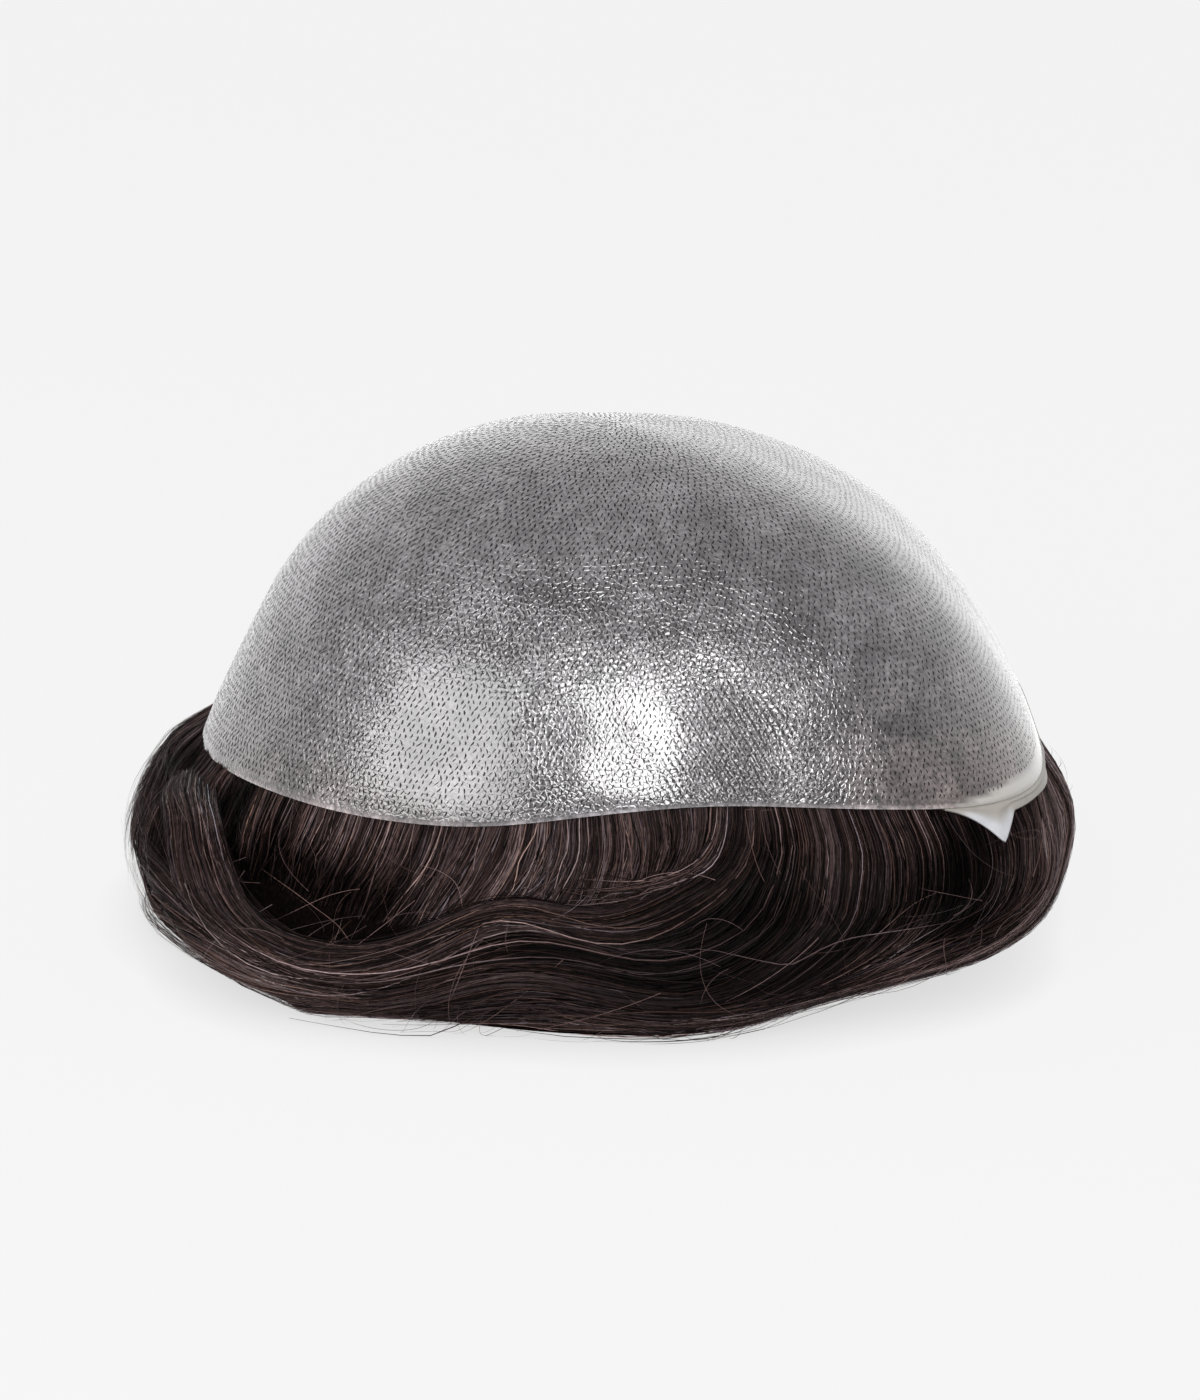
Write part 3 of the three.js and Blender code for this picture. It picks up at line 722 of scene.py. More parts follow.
def ribbons(name, parts, width, seed, lighten=0.0):
    """One mesh of thin rounded ribbons from grown strands."""
    rng = np.random.default_rng(seed)
    coords, normals, shades, cells, faces = [], [], [], [], []
    base = cell = 0
    total = sum(len(part[0]) for part in parts)
    across = math.ceil(math.sqrt(total))
    for point, normal, shade, share, level in parts:
        count, steps = point.shape[:2]
        along = unit(np.gradient(point, axis=1))
        side = unit(np.cross(normal, along))
        up = np.cross(along, side)
        roll = rng.normal(0, ROLL, (count, 1, 1))
        turned = side * np.cos(roll) + up * np.sin(roll)
        up = up * np.cos(roll) - side * np.sin(roll)
        run = share / share[:, -1:]
        broad = width[0] + (width[1] - width[0]) * rng.uniform(0, 1, count) ** WIDTH_SKEW
        narrowed = 1 - TAPER * eased((run - TAPER_FROM) / (1 - TAPER_FROM))
        half = 0.5 * MM * broad[:, None] * narrowed
        left, right = point - turned * half[..., None], point + turned * half[..., None]
        coords.append(np.stack([left, right], 2).reshape(-1, 3))
        bent = turned * ROUNDNESS
        normals.append(np.stack([up - bent, up + bent], 2).reshape(-1, 3))
        warm = rng.normal(0, 1.0, count)[:, None]
        tone = strand_tones(shade, level, run, lighten, warm)
        shades.append(np.repeat(tone[:, :, None, :], 2, 2).reshape(-1, 4))
        cells.append(strand_cells(cell + np.arange(count), across, run))
        first = base + (np.arange(count)[:, None] * steps + np.arange(steps - 1)[None, :]) * 2
        faces.append(np.stack([first, first + 2, first + 3, first + 1], -1).reshape(-1, 4))
        base += count * steps * 2
        cell += count
    joined = (np.concatenate(x) for x in (coords, faces, normals, shades, cells))
    return mesh_object(name, *joined)


def mesh_object(name, coords, faces, normals=None, shades=None, cells=None, smooth=True):
    """A mesh of quads or triangles from arrays."""
    sides = faces.shape[1]
    mesh = bpy.data.meshes.new(name)
    mesh.vertices.add(len(coords))
    mesh.vertices.foreach_set("co", coords.astype(np.float32).ravel())
    mesh.loops.add(faces.size)
    mesh.loops.foreach_set("vertex_index", faces.astype(np.int32).ravel())
    mesh.polygons.add(len(faces))
    mesh.polygons.foreach_set("loop_start", np.arange(0, faces.size, sides, dtype=np.int32))
    if cells is not None:
        layer = mesh.uv_layers.new(name="OFBake")
        layer.data.foreach_set("uv", cells[faces.ravel()].astype(np.float32).ravel())
    if shades is not None:
        layer = mesh.attributes.new("shade", "FLOAT_COLOR", "POINT")
        layer.data.foreach_set("color", shades.astype(np.float32).ravel())
    mesh.update(calc_edges=True)
    mesh.validate()
    mesh.polygons.foreach_set("use_smooth", np.full(len(mesh.polygons), smooth))
    if normals is not None:
        mesh.normals_split_custom_set_from_vertices(unit(normals).tolist())
    obj = bpy.data.objects.new(name, mesh)
    bpy.context.scene.collection.objects.link(obj)
    return obj


# Materials.
class Graph:
    """A node tree: each call adds one node and gives back its output."""

    def __init__(self, tree):
        self.nodes, self.links = tree.nodes, tree.links

    def add(self, kind, inputs, **settings):
        """A node, with each input either linked to an output or set to a value."""
        made = self.nodes.new(kind)
        for key, value in settings.items():
            setattr(made, key, value)
        for key, value in inputs.items():
            if isinstance(value, bpy.types.NodeSocket):
                self.links.new(value, made.inputs[key])
            else:
                made.inputs[key].default_value = value
        return made

    def place(self, kind="Object"):
        return self.add("ShaderNodeTexCoord", {}).outputs[kind]

    def shade(self):
        """The colour and alpha that a mesh carries at its points."""
        made = self.add("ShaderNodeAttribute", {}, attribute_name="shade")
        return made.outputs["Color"], made.outputs["Alpha"]

    def noise(self, scale, detail, roughness=0.5, stretch=(1.0, 1.0, 1.0)):
        place = self.add("ShaderNodeMapping", {"Vector": self.place(), "Scale": stretch})
        texture = {"Vector": place.outputs["Vector"], "Scale": scale, "Detail": detail,
                   "Roughness": roughness}
        return self.add("ShaderNodeTexNoise", texture).outputs["Fac"]

    def spread(self, value, before, after, smooth=False):
        """Carry one range of values over to another."""
        limits = {"Value": value, "From Min": before[0], "From Max": before[1],
                  "To Min": after[0], "To Max": after[1]}
        kind = "SMOOTHSTEP" if smooth else "LINEAR"
        return self.add("ShaderNodeMapRange", limits, interpolation_type=kind).outputs["Result"]

    def ramp(self, value, *stops):
        made = self.add("ShaderNodeValToRGB", {"Fac": value})
        for element, (position, colour) in zip(made.color_ramp.elements, stops):
            element.position, element.color = position, (*colour, 1)
        return made.outputs["Color"]

    def math(self, operation, *values):
        made = self.add("ShaderNodeMath", dict(enumerate(values)), operation=operation)
        return made.outputs["Value"]

    def vector(self, operation, *values):
        made = self.add("ShaderNodeVectorMath", dict(enumerate(values)), operation=operation)
        return made.outputs["Vector"]

    def scaled(self, colour, factor):
        made = self.add("ShaderNodeVectorMath", {0: colour, "Scale": factor}, operation="SCALE")
        return made.outputs["Vector"]

    def measure(self, operation, spot):
        """Distance from a spot, or dot product with it."""
        inputs = {0: self.place(), 1: spot}
        made = self.add("ShaderNodeVectorMath", inputs, operation=operation)
        return made.outputs["Value"]

    def bump(self, height, strength, distance):
        inputs = {"Height": height, "Strength": strength, "Distance": distance}
        return self.add("ShaderNodeBump", inputs).outputs["Normal"]


def material(name, colour, roughness, specular, normal=None, sheen=None):
    """A material whose colour and normal come from functions of its graph."""
    made = bpy.data.materials.new(name)
    made.use_nodes = True
    graph = Graph(made.node_tree)
    shader = graph.nodes["Principled BSDF"]
    graph.links.new(colour(graph), shader.inputs["Base Color"])
    if normal is not None:
        graph.links.new(normal(graph), shader.inputs["Normal"])
    shader.inputs["Roughness"].default_value = roughness
    shader.inputs["Specular IOR Level"].default_value = specular
    if sheen is not None:
        shader.inputs["Sheen Weight"].default_value = sheen[0]
        shader.inputs["Sheen Roughness"].default_value = sheen[1]
    return made


def strand_colour(graph):
    return graph.scaled(graph.shade()[0],
                        graph.spread(graph.noise(900.0, 2.0), (0.3, 0.7), (0.75, 1.25)))


def under_streaks(graph):
    """Hair under the strands has soft streaks down the fall."""
    return graph.noise(1400.0, 4.0, 0.65, stretch=(1.0, 1.0, 0.12))


def mottled(pattern, *stops):
    """Colour function that runs through stops along a pattern."""
    return lambda graph: graph.ramp(pattern(graph), *stops)


def embossed(pattern, strength, distance):
    """Normal function that raises a pattern."""
    return lambda graph: graph.bump(pattern(graph), strength, distance)


CLEAR_TONE = (0.27, 0.258, 0.24)


def film_colour(graph):
    """Dark hair seen through clear film, in soft patches and fine specks that are partly painted
    glints.

    The clear margin has no knots under it: the shade's alpha is zero there.
    """
    tone = graph.ramp(graph.noise(85.0, 3.0, 0.6), (0.36, (0.0315, 0.0290, 0.0309)),
                      (0.66, (0.083, 0.0765, 0.0813)))
    # Fine specks of tone, partly painted glints.
    specks = graph.spread(graph.noise(900.0, 3.0, 0.7), (0.32, 0.68), (0.28, 1.62))
    tint, knotted = graph.shade()
    tinted = graph.vector("MULTIPLY", graph.scaled(tone, specks), tint)
    clear = graph.math("SUBTRACT", 1.0, knotted)
    return graph.vector("ADD", graph.scaled(tinted, knotted), graph.scaled(CLEAR_TONE, clear))


# Where the film is pulled smooth: spot, its inner and outer reach, and the share of the
# creases that is left.
CALM_SPOTS = (((-0.031, -0.060, 0.058), (0.012, 0.028), 0.16),
              ((0.003, -0.064, 0.061), (0.011, 0.022), 0.13))
PUCKER_SPOT, PUCKER_REACH = (0.024, -0.062, 0.060), (0.008, 0.019)
# Direction and rate of the puckers.
PUCKER_WAY = (3700.0, 0.0, 2300.0)


def film_normal(graph):
    """Fine creases, with slanting puckers along the rows of knots in one place."""
    cells = graph.add("ShaderNodeTexVoronoi",
                      {"Vector": graph.place(), "Scale": 900.0, "Randomness": 0.9},
                      feature="DISTANCE_TO_EDGE").outputs["Distance"]
    crease = graph.spread(cells, (0.0, 0.2), (0.0, 1.0), smooth=True)
    soft = graph.math("MULTIPLY", graph.noise(1200.0, 2.0, 0.5), 0.55)
    height = graph.math("MULTIPLY_ADD", crease, 0.4, soft)
    rows = graph.measure("DOT_PRODUCT", PUCKER_WAY)
    waver = graph.math("MULTIPLY_ADD", graph.noise(85.0, 3.0, 0.6), 7.0, rows)
    beside = graph.measure("DISTANCE", PUCKER_SPOT)
    pucker = graph.spread(beside, PUCKER_REACH, (0.45, 0.0), smooth=True)
    height = graph.math("MULTIPLY_ADD", graph.math("SINE", waver), pucker, height)
    shares = [graph.spread(graph.measure("DISTANCE", spot), reach, (left, 1.0), smooth=True)
              for spot, reach, left in CALM_SPOTS]
    # The film lies flatter towards the hairline.
    shares.append(graph.spread(graph.measure("DOT_PRODUCT", (1.0, 0.0, 0.0)), (0.028, 0.058),
                               (1.0, 0.4), smooth=True))
    shares.append(graph.shade()[1])
    for share in shares:
        height = graph.math("MULTIPLY", height, share)
    return graph.bump(height, 0.55, 0.0003)


def knot_specks(graph):
    return graph.noise(700.0, 2.0)


def margin_haze(graph):
    return graph.noise(260.0, 3.0, 0.6)


def margin_colour(graph):
    """Clear strip without knots: milky and folded, darker with painted shade where it lies double."""
    return graph.scaled(graph.shade()[0],
                        graph.spread(margin_haze(graph), (0.3, 0.7), (0.9, 1.08)))


def table_clouds(graph):
    return graph.noise(3.0, 1.0)


TABLE_STOPS = (0.0, (0.028,) * 3), (1.0, (0.032,) * 3)


def table_material():
    """Pale and even, with a painted shadow close to the hair."""
    made = material("table", mottled(table_clouds, *TABLE_STOPS), 1.0, 0.0)
    graph = Graph(made.node_tree)
    # Painted shadow: the table's glow is dimmer where the hair is near.
    near = graph.add("ShaderNodeAmbientOcclusion", {"Distance": 0.014}, samples=8)
    dim = graph.spread(near.outputs["AO"], (0.0, 1.0), (0.65, 0.86))
    glow = graph.add("ShaderNodeEmission", {"Color": dim, "Strength": 1.0})
    lit = graph.nodes["Principled BSDF"].outputs["BSDF"]
    both = graph.add("ShaderNodeAddShader", {0: lit, 1: glow.outputs["Emission"]})
    graph.links.new(both.outputs["Shader"], graph.nodes["Material Output"].inputs["Surface"])
    return made


# Hair under the strands, near black: painted shade.
UNDER_SHADE_STOPS = (0.38, (0.0010, 0.0007, 0.0007)), (0.66, (0.0034, 0.0022, 0.0020))
KNOT_STOPS = (0.35, (0.003, 0.003, 0.0034)), (0.7, (0.018, 0.014, 0.0135))
HAIR = material("hair", strand_colour, 0.38, 0.02)
STRAY = material("stray_hair", strand_colour, 0.4, 0.08)
SHADED_UNDER = material("hair_under", mottled(under_streaks, *UNDER_SHADE_STOPS), 0.8, 0.0,
                 embossed(under_streaks, 0.6, 0.3 * MM))
FILM = material("film", film_colour, 0.11, 0.62, film_normal, sheen=(0.56, 0.5))
KNOT = material("knots", mottled(knot_specks, *KNOT_STOPS), 0.5, 0.08)
MARGIN_FILM = material("clear_margin", margin_colour, 0.3, 0.5,
                       embossed(margin_haze, 0.35, 0.4 * MM))


def dress(obj, finish, slot, *replaced):
    """Give a piece its material and body, and hide the frame's nodes that it replaces."""
    obj.data.materials.append(finish)
    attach(obj, "root")
    if replaced:
        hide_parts(*replaced)
    return obj


# Film base.
class Film:
    """The outer face of the film, over angle and share of the way from crown to rim."""

    turns, cast_rows, rows, inner_rows = 288, 90, 105, 19
    centre, outside = 0.040, 0.3
    passes_round, passes_down = 24, 50
    waves, wave_length, wave_height = 26, (0.007, 0.024), 0.0010

    def __init__(self):
        theta = np.arange(self.turns) * TAU / self.turns
        self.rim_reach = periodic(rim_reaches, theta)
        self.rim_level = periodic(rim_levels, theta)
        lowest = np.arctan2(self.rim_level - self.centre, self.rim_reach)
        share = np.linspace(0, 1, self.cast_rows)
        span = np.empty((self.turns, self.cast_rows))
        for i, a in enumerate(theta):
            for j, s in enumerate(share):
                up = math.pi / 2 - s * (math.pi / 2 - lowest[i])
                way = Vector((math.cos(a) * math.cos(up), math.sin(a) * math.cos(up), math.sin(up)))
                start = Vector((AXIS[0], AXIS[1], self.centre))
                cast = film_tree.ray_cast(start + way * self.outside, -way)[0]
                hit = cast if s < 0.985 else None
                if hit is None:
                    span[i, j] = math.hypot(self.rim_reach[i], self.rim_level[i] - self.centre)
                else:
                    span[i, j] = (hit - start).length
        span[:, 0] = span[:, 0].mean()
        span = soften(span, self.passes_round, 0, True)
        span = soften(span, self.passes_down, 1, False)
        up = math.pi / 2 - share[None, :] * (math.pi / 2 - lowest[:, None])
        level = self.centre + span * np.sin(up)
        grid = round_axis(span * np.cos(up), theta[:, None], level)
        step = np.linalg.norm(np.diff(grid, axis=1), axis=-1)
        run = np.concatenate([np.zeros((self.turns, 1)), np.cumsum(step, 1)], 1)
        even = np.empty((self.turns, self.rows, 3))
        for i in range(self.turns):
            at = np.linspace(0, run[i, -1], self.rows)
            for k in range(3):
                even[i, :, k] = np.interp(at, run[i], grid[i, :, k])
        even = soften(even, 4, 1, False)
        self.length = run[:, -1]
        self.grid = even + self.normals(even) * self.relief(even)[..., None]

    @staticmethod
    def normals(grid):
        around = np.roll(grid, -1, 0) - np.roll(grid, 1, 0)
        down = np.gradient(grid, axis=1)
        n = np.cross(down, around)
        n[:, 0] = (0, 0, 1)
        return unit(n)

    def relief(self, grid):
        """Slight unevenness of thin film that stands by itself."""
        rng = np.random.default_rng(11)
        out = np.zeros(grid.shape[:2])
        for _ in range(self.waves):
            way = unit(rng.normal(0, 1, 3))
            length = rng.uniform(*self.wave_length)
            wave = np.sin(grid @ way * (TAU / length) + rng.uniform(0, TAU))
            out += length * self.wave_height * wave
        fade = eased(np.linspace(0, 8, self.rows)) * eased(np.linspace(12, 0, self.rows))
        return out * fade[None, :]

    def at(self, theta, share):
        down = np.clip(share * (self.rows - 1), 0, self.rows - 1.001)
        return between(self.grid, theta, down)


film = Film()


def ring_faces(turns, rows):
    """Quads of a grid that closes round its first direction."""
    i, j = np.meshgrid(np.arange(turns), np.arange(rows - 1), indexing="ij")
    a = i * rows + j
    b = ((i + 1) % turns) * rows + j
    return np.stack([a, a + 1, b + 1, b], -1).reshape(-1, 4)


CLEAR_MARGIN, CLEAR_SPAN, CLEAR_FADE = 3.6 * MM, math.radians(38), math.radians(9)


def clear_width(theta):
    """Width of the knotless clear margin at the rim, round the right end."""
    beyond = CLEAR_SPAN - np.abs(turn_from(theta))
    return CLEAR_MARGIN * np.clip(beyond / CLEAR_FADE, 0, 1) ** 0.7


# Widths in millimetres over which the clear margin and the painted highlight along the rim fade.
CLEAR_BLUR, RIM_HIGHLIGHT_WIDTH, RIM_HIGHLIGHT_BLUR = 0.9, 0.9, 0.5
# How much paler the rim's edge is, as painted highlight, and the hairline's side, as painted sheen.
RIM_HIGHLIGHT_GAIN, SIDE_PAINTED_SHEEN = 2.2, 0.15
# Change of the film's tint where it is warm, and what the painted shade of its crease takes away.
WARM_TONE = np.array([0.3, 0.1, -0.04])
CREASE_SHADE_TONE = np.array([0.3, 0.42, 0.48])


def film_shades(down):
    """Tint of the film: pale at its clear margin and warmer at two places of the rim, with
    painted highlight along the rim, painted sheen on the hairline's side and painted shade at a
    crease.
    """
    theta = np.arange(film.turns) * TAU / film.turns
    from_rim = (1 - down)[None, :] * film.length[:, None]
    width = clear_width(theta)[:, None]
    clear = eased((width - from_rim) / (CLEAR_BLUR * MM) + 0.5) * (width > 0)
    # Painted highlight along the rim.
    edge = eased((RIM_HIGHLIGHT_WIDTH * MM - from_rim) / (RIM_HIGHLIGHT_BLUR * MM))
    around = theta[:, None]

    def rim_patch(angle, wide, reach):
        off = turn_from(around, math.radians(angle))
        return bell(off / wide) * bell(from_rim / (reach * MM))

    tint = (rim_patch(-22, 0.45, 16) + 0.5 * rim_patch(215, 0.5, 12)) * (1 - clear)
    # Painted sheen on the hairline's side.
    front = bell(turn_from(around) / 0.55) * eased((70 * MM - from_rim) / (45 * MM))
    # A brownish crease inside the clear margin, where the film folds at the far end: painted shade.
    inside = from_rim - width - 1.2 * MM
    crease = bell(inside / (0.9 * MM)) * bell(turn_from(around, -0.1) / 0.28)
    tone = 1 + WARM_TONE * tint[..., None]
    tone = tone * (1 + SIDE_PAINTED_SHEEN * front)[..., None]
    tone = tone * (1 - crease[..., None] * CREASE_SHADE_TONE)
    tone = tone * (1 + RIM_HIGHLIGHT_GAIN * edge * (1 - clear))[..., None]
    return np.concatenate([tone.reshape(-1, 3), (1 - clear).reshape(-1, 1)], 1)


# Where the two faces of the film lie on its flat map: middle and reach of a disc.
OUTER_DISC, INNER_DISC = (0.5, 0.45), (0.065, 0.055)


def make_film():
    """The film's outer face, and its inner face a wall's thickness under it."""
    outer = film.grid
    normal = film.normals(outer)
    down = np.linspace(0, 1, film.rows)
    # The wall thins towards the rim.
    wall = MM * (1.0 - 0.75 * eased((down - 0.9) / 0.1))
    rows = np.linspace(0, film.rows - 1, film.inner_rows).astype(int)
    inner = (outer - normal * wall[None, :, None])[:, rows][:, ::-1]
    grid = np.concatenate([outer, inner], 1)
    count = grid.shape[1]
    faces = ring_faces(film.turns, count)
    theta = np.arange(film.turns) * TAU / film.turns
    disc = np.concatenate([down * OUTER_DISC[1], down[rows][::-1] * INNER_DISC[1]])
    middle = np.repeat((OUTER_DISC[0], INNER_DISC[0]), (film.rows, len(rows)))
    cells = np.stack([middle[None, :] + disc[None, :] * np.cos(theta)[:, None],
                      middle[None, :] + disc[None, :] * np.sin(theta)[:, None]], -1)
    shades = film_shades(np.concatenate([down, down[rows][::-1]]))
    obj = mesh_object("film_dome", grid.reshape(-1, 3), faces, shades=shades,
                      cells=cells.reshape(-1, 2))
    dress(obj, FILM, "knotted_film", "skin_base")


make_film()


# Rings of knots from crown to rim; the rings of a band have the same number of knots.
KNOT_RINGS = 86
KNOT_BANDS = (1, 2, 3, 4, 5, 7, 9, 12, 16, 21, 27, 36, 45, 54, 63, 72, 81, 85)
KNOT_GAP = 1.36 * MM
# Length of the film from crown to rim.
ARC = 0.115
RING_POINTS = 720
# Half length and half width of a knot in millimetres, and the share of knots left out.
KNOT_LONG, KNOT_WIDE, KNOT_LOST = (0.34, 0.60), (0.12, 0.19), 0.02
# Section by section along a knot: place, width and sideways slip.
KNOT_FORM = ((0.0, 0.6, 0.0), (0.55, 1.15, 0.5), (1.0, 0.45, 0.0))


def knot_places():
    """Both ends of each knot, as angle and share of the way to the rim, and its half width."""
    rng = np.random.default_rng(5)
    starts, ends, sides = [], [], []
    for first, last in zip(KNOT_BANDS[:-1], KNOT_BANDS[1:]):
        middle = (first + last) / 2 / KNOT_RINGS
        theta = np.arange(RING_POINTS) * TAU / RING_POINTS
        ring = film.at(theta, np.full(RING_POINTS, middle))
        around = np.linalg.norm(np.roll(ring, -1, 0) - ring, axis=1)
        run = np.concatenate([[0], np.cumsum(around)])
        turn = np.concatenate([theta, [TAU]])
        count = int(round(run[-1] / KNOT_GAP))
        for k in range(first, last):
            place = (np.arange(count) + 0.5 * (k % 2) + rng.normal(0, 0.1, count)) / count
            a = np.interp((place % 1) * run[-1], run, turn)
            share = (k + rng.normal(0, 0.09, count)) / KNOT_RINGS
            width = clear_width(a) / periodic(film.length, a)
            keep = share < 1 - np.maximum(0.016, width)
            keep &= rng.uniform(0, 1, count) > KNOT_LOST
            a, share = a[keep], share[keep]
            # Smaller knots towards the hairline.
            small = 1 - 0.38 * bell(turn_from(a) / 0.8)
            long = rng.uniform(*KNOT_LONG, len(a)) * small * MM / ARC
            tilt = rng.normal(0.15, 0.3, len(a))
            reach = np.maximum(polar(film.at(a, share))[1], 4 * MM)
            swing = tilt * long * ARC / reach
            starts.append(np.stack([a - swing, share + long], -1))
            ends.append(np.stack([a + swing, share - long], -1))
            sides.append(rng.uniform(*KNOT_WIDE, len(a)) * small * MM)
    return np.concatenate(starts), np.concatenate(ends), np.concatenate(sides)[:, None]


def make_knots():
    """Rows of short dark loops, where each hair is tied through the film."""
    start, end, half = knot_places()
    coords = []
    for f, wide, slip in KNOT_FORM:
        spot = start * (1 - f) + end * f
        share = np.clip(spot[:, 1], 0, 0.992)
        point = film.at(spot[:, 0], share)
        ahead = unit(film.at(spot[:, 0] + 0.01, share) - film.at(spot[:, 0] - 0.01, share))
        down = film.at(spot[:, 0], share + 0.006) - film.at(spot[:, 0], share - 0.006)
        out = unit(np.cross(down, ahead))
        centre = point + out * 0.05 * MM + ahead * half * slip
        coords += [centre - ahead * half * wide, centre + ahead * half * wide]
    count = len(start)
    grid = np.stack(coords, 1)
    first = np.arange(count)[:, None] * 6
    faces = np.concatenate([first + np.array([0, 1, 3, 2]), first + np.array([2, 3, 5, 4])])
    across = math.ceil(math.sqrt(count))
    cell = np.arange(count)
    u = (cell % across)[:, None] + np.array([0.2, 0.8] * 3)[None, :]
    v = (cell // across)[:, None] + np.array([0.1, 0.1, 0.5, 0.5, 0.9, 0.9])[None, :]
    cells = np.stack([u, v], -1).reshape(-1, 2) / across
    obj = mesh_object("film_knots", grid.reshape(-1, 3), faces, cells=cells)
    dress(obj, KNOT, "hair")


make_knots()


# Clear margin.

# Section of the strip: share of its width, reach outwards and fall.
MARGIN_SECTION = [(0.0, -1.0, 0.0), (0.3, 0.0, 0.0), (0.55, 0.45, 0.2), (1.0, 1.0, 1.0)]
MARGIN_STEPS, MARGIN_ACROSS = 241, 17
# Widths and lengths in millimetres, angles in degrees from the hairline's middle.
MARGIN = dict(width=0.9, fall=1.8, tab_length=6.0, tab_reach=1.8, tab_angle=33.2,
              tab_front=6.2, tab_rear=2.5, lap=2.5, clearance=0.08)
# Bead along the seam and fold under it: height in millimetres, place and half breadth.
SEAM_FORMS = ((0.3, 0.42, 0.07), (-0.2, 0.62, 0.07))
RIPPLE, RIPPLE_RATE = 0.25 * MM, 31
# The strip's hidden face lies lower than the outer one and nearer to the axis.
STRIP_LOWER, STRIP_INSIDE = 0.4 * MM, 0.15 * MM
# Taper of a corner: hollow on the side away from the hairline's middle, then straight.
TAB_CURVES = (1.45, 1.0)
PALE_TONE = np.array([0.325, 0.33, 0.345])
FOLD_SHADE_TONE = np.array([0.20, 0.186, 0.168])


def make_margin():
    """Clear strip beyond the rim at the hairline, with a pointed corner at each end."""
    span = math.radians(MARGIN["tab_angle"] + MARGIN["tab_front"] + 0.5)
    angle = np.linspace(-span, span, MARGIN_STEPS)
    off = np.abs(angle) - math.radians(MARGIN["tab_angle"])
    side = np.where(off > 0, MARGIN["tab_front"], MARGIN["tab_rear"])
    tip = np.clip(1 - np.abs(off) / np.radians(side), 0, 1) ** np.where(off > 0, *TAB_CURVES)
    fade = np.clip((span - np.abs(angle)) / math.radians(MARGIN["tab_front"]), 0, 1) ** 0.7
    reach = periodic(rim_reaches, angle)
    level = periodic(rim_levels, angle) - MARGIN["clearance"] * MM
    way = np.linspace(0, 1, MARGIN_ACROSS)
    places, outs, falls = zip(*MARGIN_SECTION)
    out = soften(np.interp(way, places, outs), 3, 0, False)
    fall = soften(np.interp(way, places, falls), 3, 0, False)
    width = MM * fade * (MARGIN["width"] + MARGIN["tab_reach"] * tip)
    drop = MM * fade * (MARGIN["fall"] + MARGIN["tab_length"] * tip)
    lapped, spread = out[None, :] * MARGIN["lap"] * MM, out[None, :] * width[:, None]
    beyond = np.where(out[None, :] < 0, lapped, spread)
    bead = sum(high * bell((way - place) / wide) for high, place, wide in SEAM_FORMS)
    beyond = beyond + MM * bead[None, :] * fade[:, None]
    radius = reach[:, None] + beyond
    height = level[:, None] - fall[None, :] * drop[:, None]
    ripple = RIPPLE * np.sin(angle * RIPPLE_RATE)[:, None] * eased((way - 0.5) * 2)[None, :]
    top = round_axis(radius + ripple, angle[:, None], height)
    under = top[:, ::-1].copy()
    under[:, :, 2] -= STRIP_LOWER
    under[:, :, :2] -= STRIP_INSIDE * np.stack([np.cos(angle), np.sin(angle)], -1)[:, None, :]
    grid = np.concatenate([top, under], 1)
    count = grid.shape[1]
    i, j = np.meshgrid(np.arange(MARGIN_STEPS - 1), np.arange(count), indexing="ij")
    a, b = i * count + j, (i + 1) * count + j
    c, d = (i + 1) * count + (j + 1) % count, i * count + (j + 1) % count
    faces = np.stack([a, d, c, b], -1).reshape(-1, 4)
    # Pale where the strip lies single; painted shade where it folds and on its hidden face.
    single = eased((way[None, :] - 0.55) / 0.3) * eased(tip[:, None] / 0.35)
    tone = FOLD_SHADE_TONE * (1 - single[..., None]) + PALE_TONE * single[..., None]
    tone = np.concatenate([tone, tone[:, ::-1] * 0.8], 1)
    shades = np.concatenate([tone, np.ones((*tone.shape[:2], 1))], -1)
    obj = mesh_object("clear_margin_film", grid.reshape(-1, 3), faces,
                      shades=shades.reshape(-1, 4))
    dress(obj, MARGIN_FILM, "clear_film", "margin_strip")


make_margin()


# Hair.

# How far the dark hair lies back from the surface in millimetres, and how much farther
# its skin lies back near the table.
LINING_BACK, SKIN_BACK, SKIN_BACK_LOW = 2.2, 2.6, 2.4
SKIN_TURNS, SKIN_ROWS = 240, 30


def make_lining():
    """Inside of the fall, near black with painted shade: the frame's own form, drawn back."""
    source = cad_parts["hair_fall"].data
    source.calc_loop_triangles()
    tri = np.empty(len(source.loop_triangles) * 3, dtype=np.int32)
    source.loop_triangles.foreach_get("vertices", tri)
    spot, place = np.unique(np.round(vertices_of(source), 6), axis=0, return_inverse=True)
    tri = place.reshape(-1)[tri].reshape(-1, 3)
    tri = tri[(tri[:, 0] != tri[:, 1]) & (tri[:, 1] != tri[:, 2]) & (tri[:, 0] != tri[:, 2])]
    face = np.cross(spot[tri[:, 1]] - spot[tri[:, 0]], spot[tri[:, 2]] - spot[tri[:, 0]])
    normal = np.zeros_like(spot)
    for k in range(3):
        np.add.at(normal, tri[:, k], face)
    back = LINING_BACK + spots(hollows, polar(spot)[0], spot[:, 2])
    spot = spot - unit(normal) * MM * back[:, None]
    spot[:, 2] = np.maximum(spot[:, 2], 0.3 * MM)
    dress(mesh_object("hair_lining", spot, tri), SHADED_UNDER, "hair", "hair_fall")


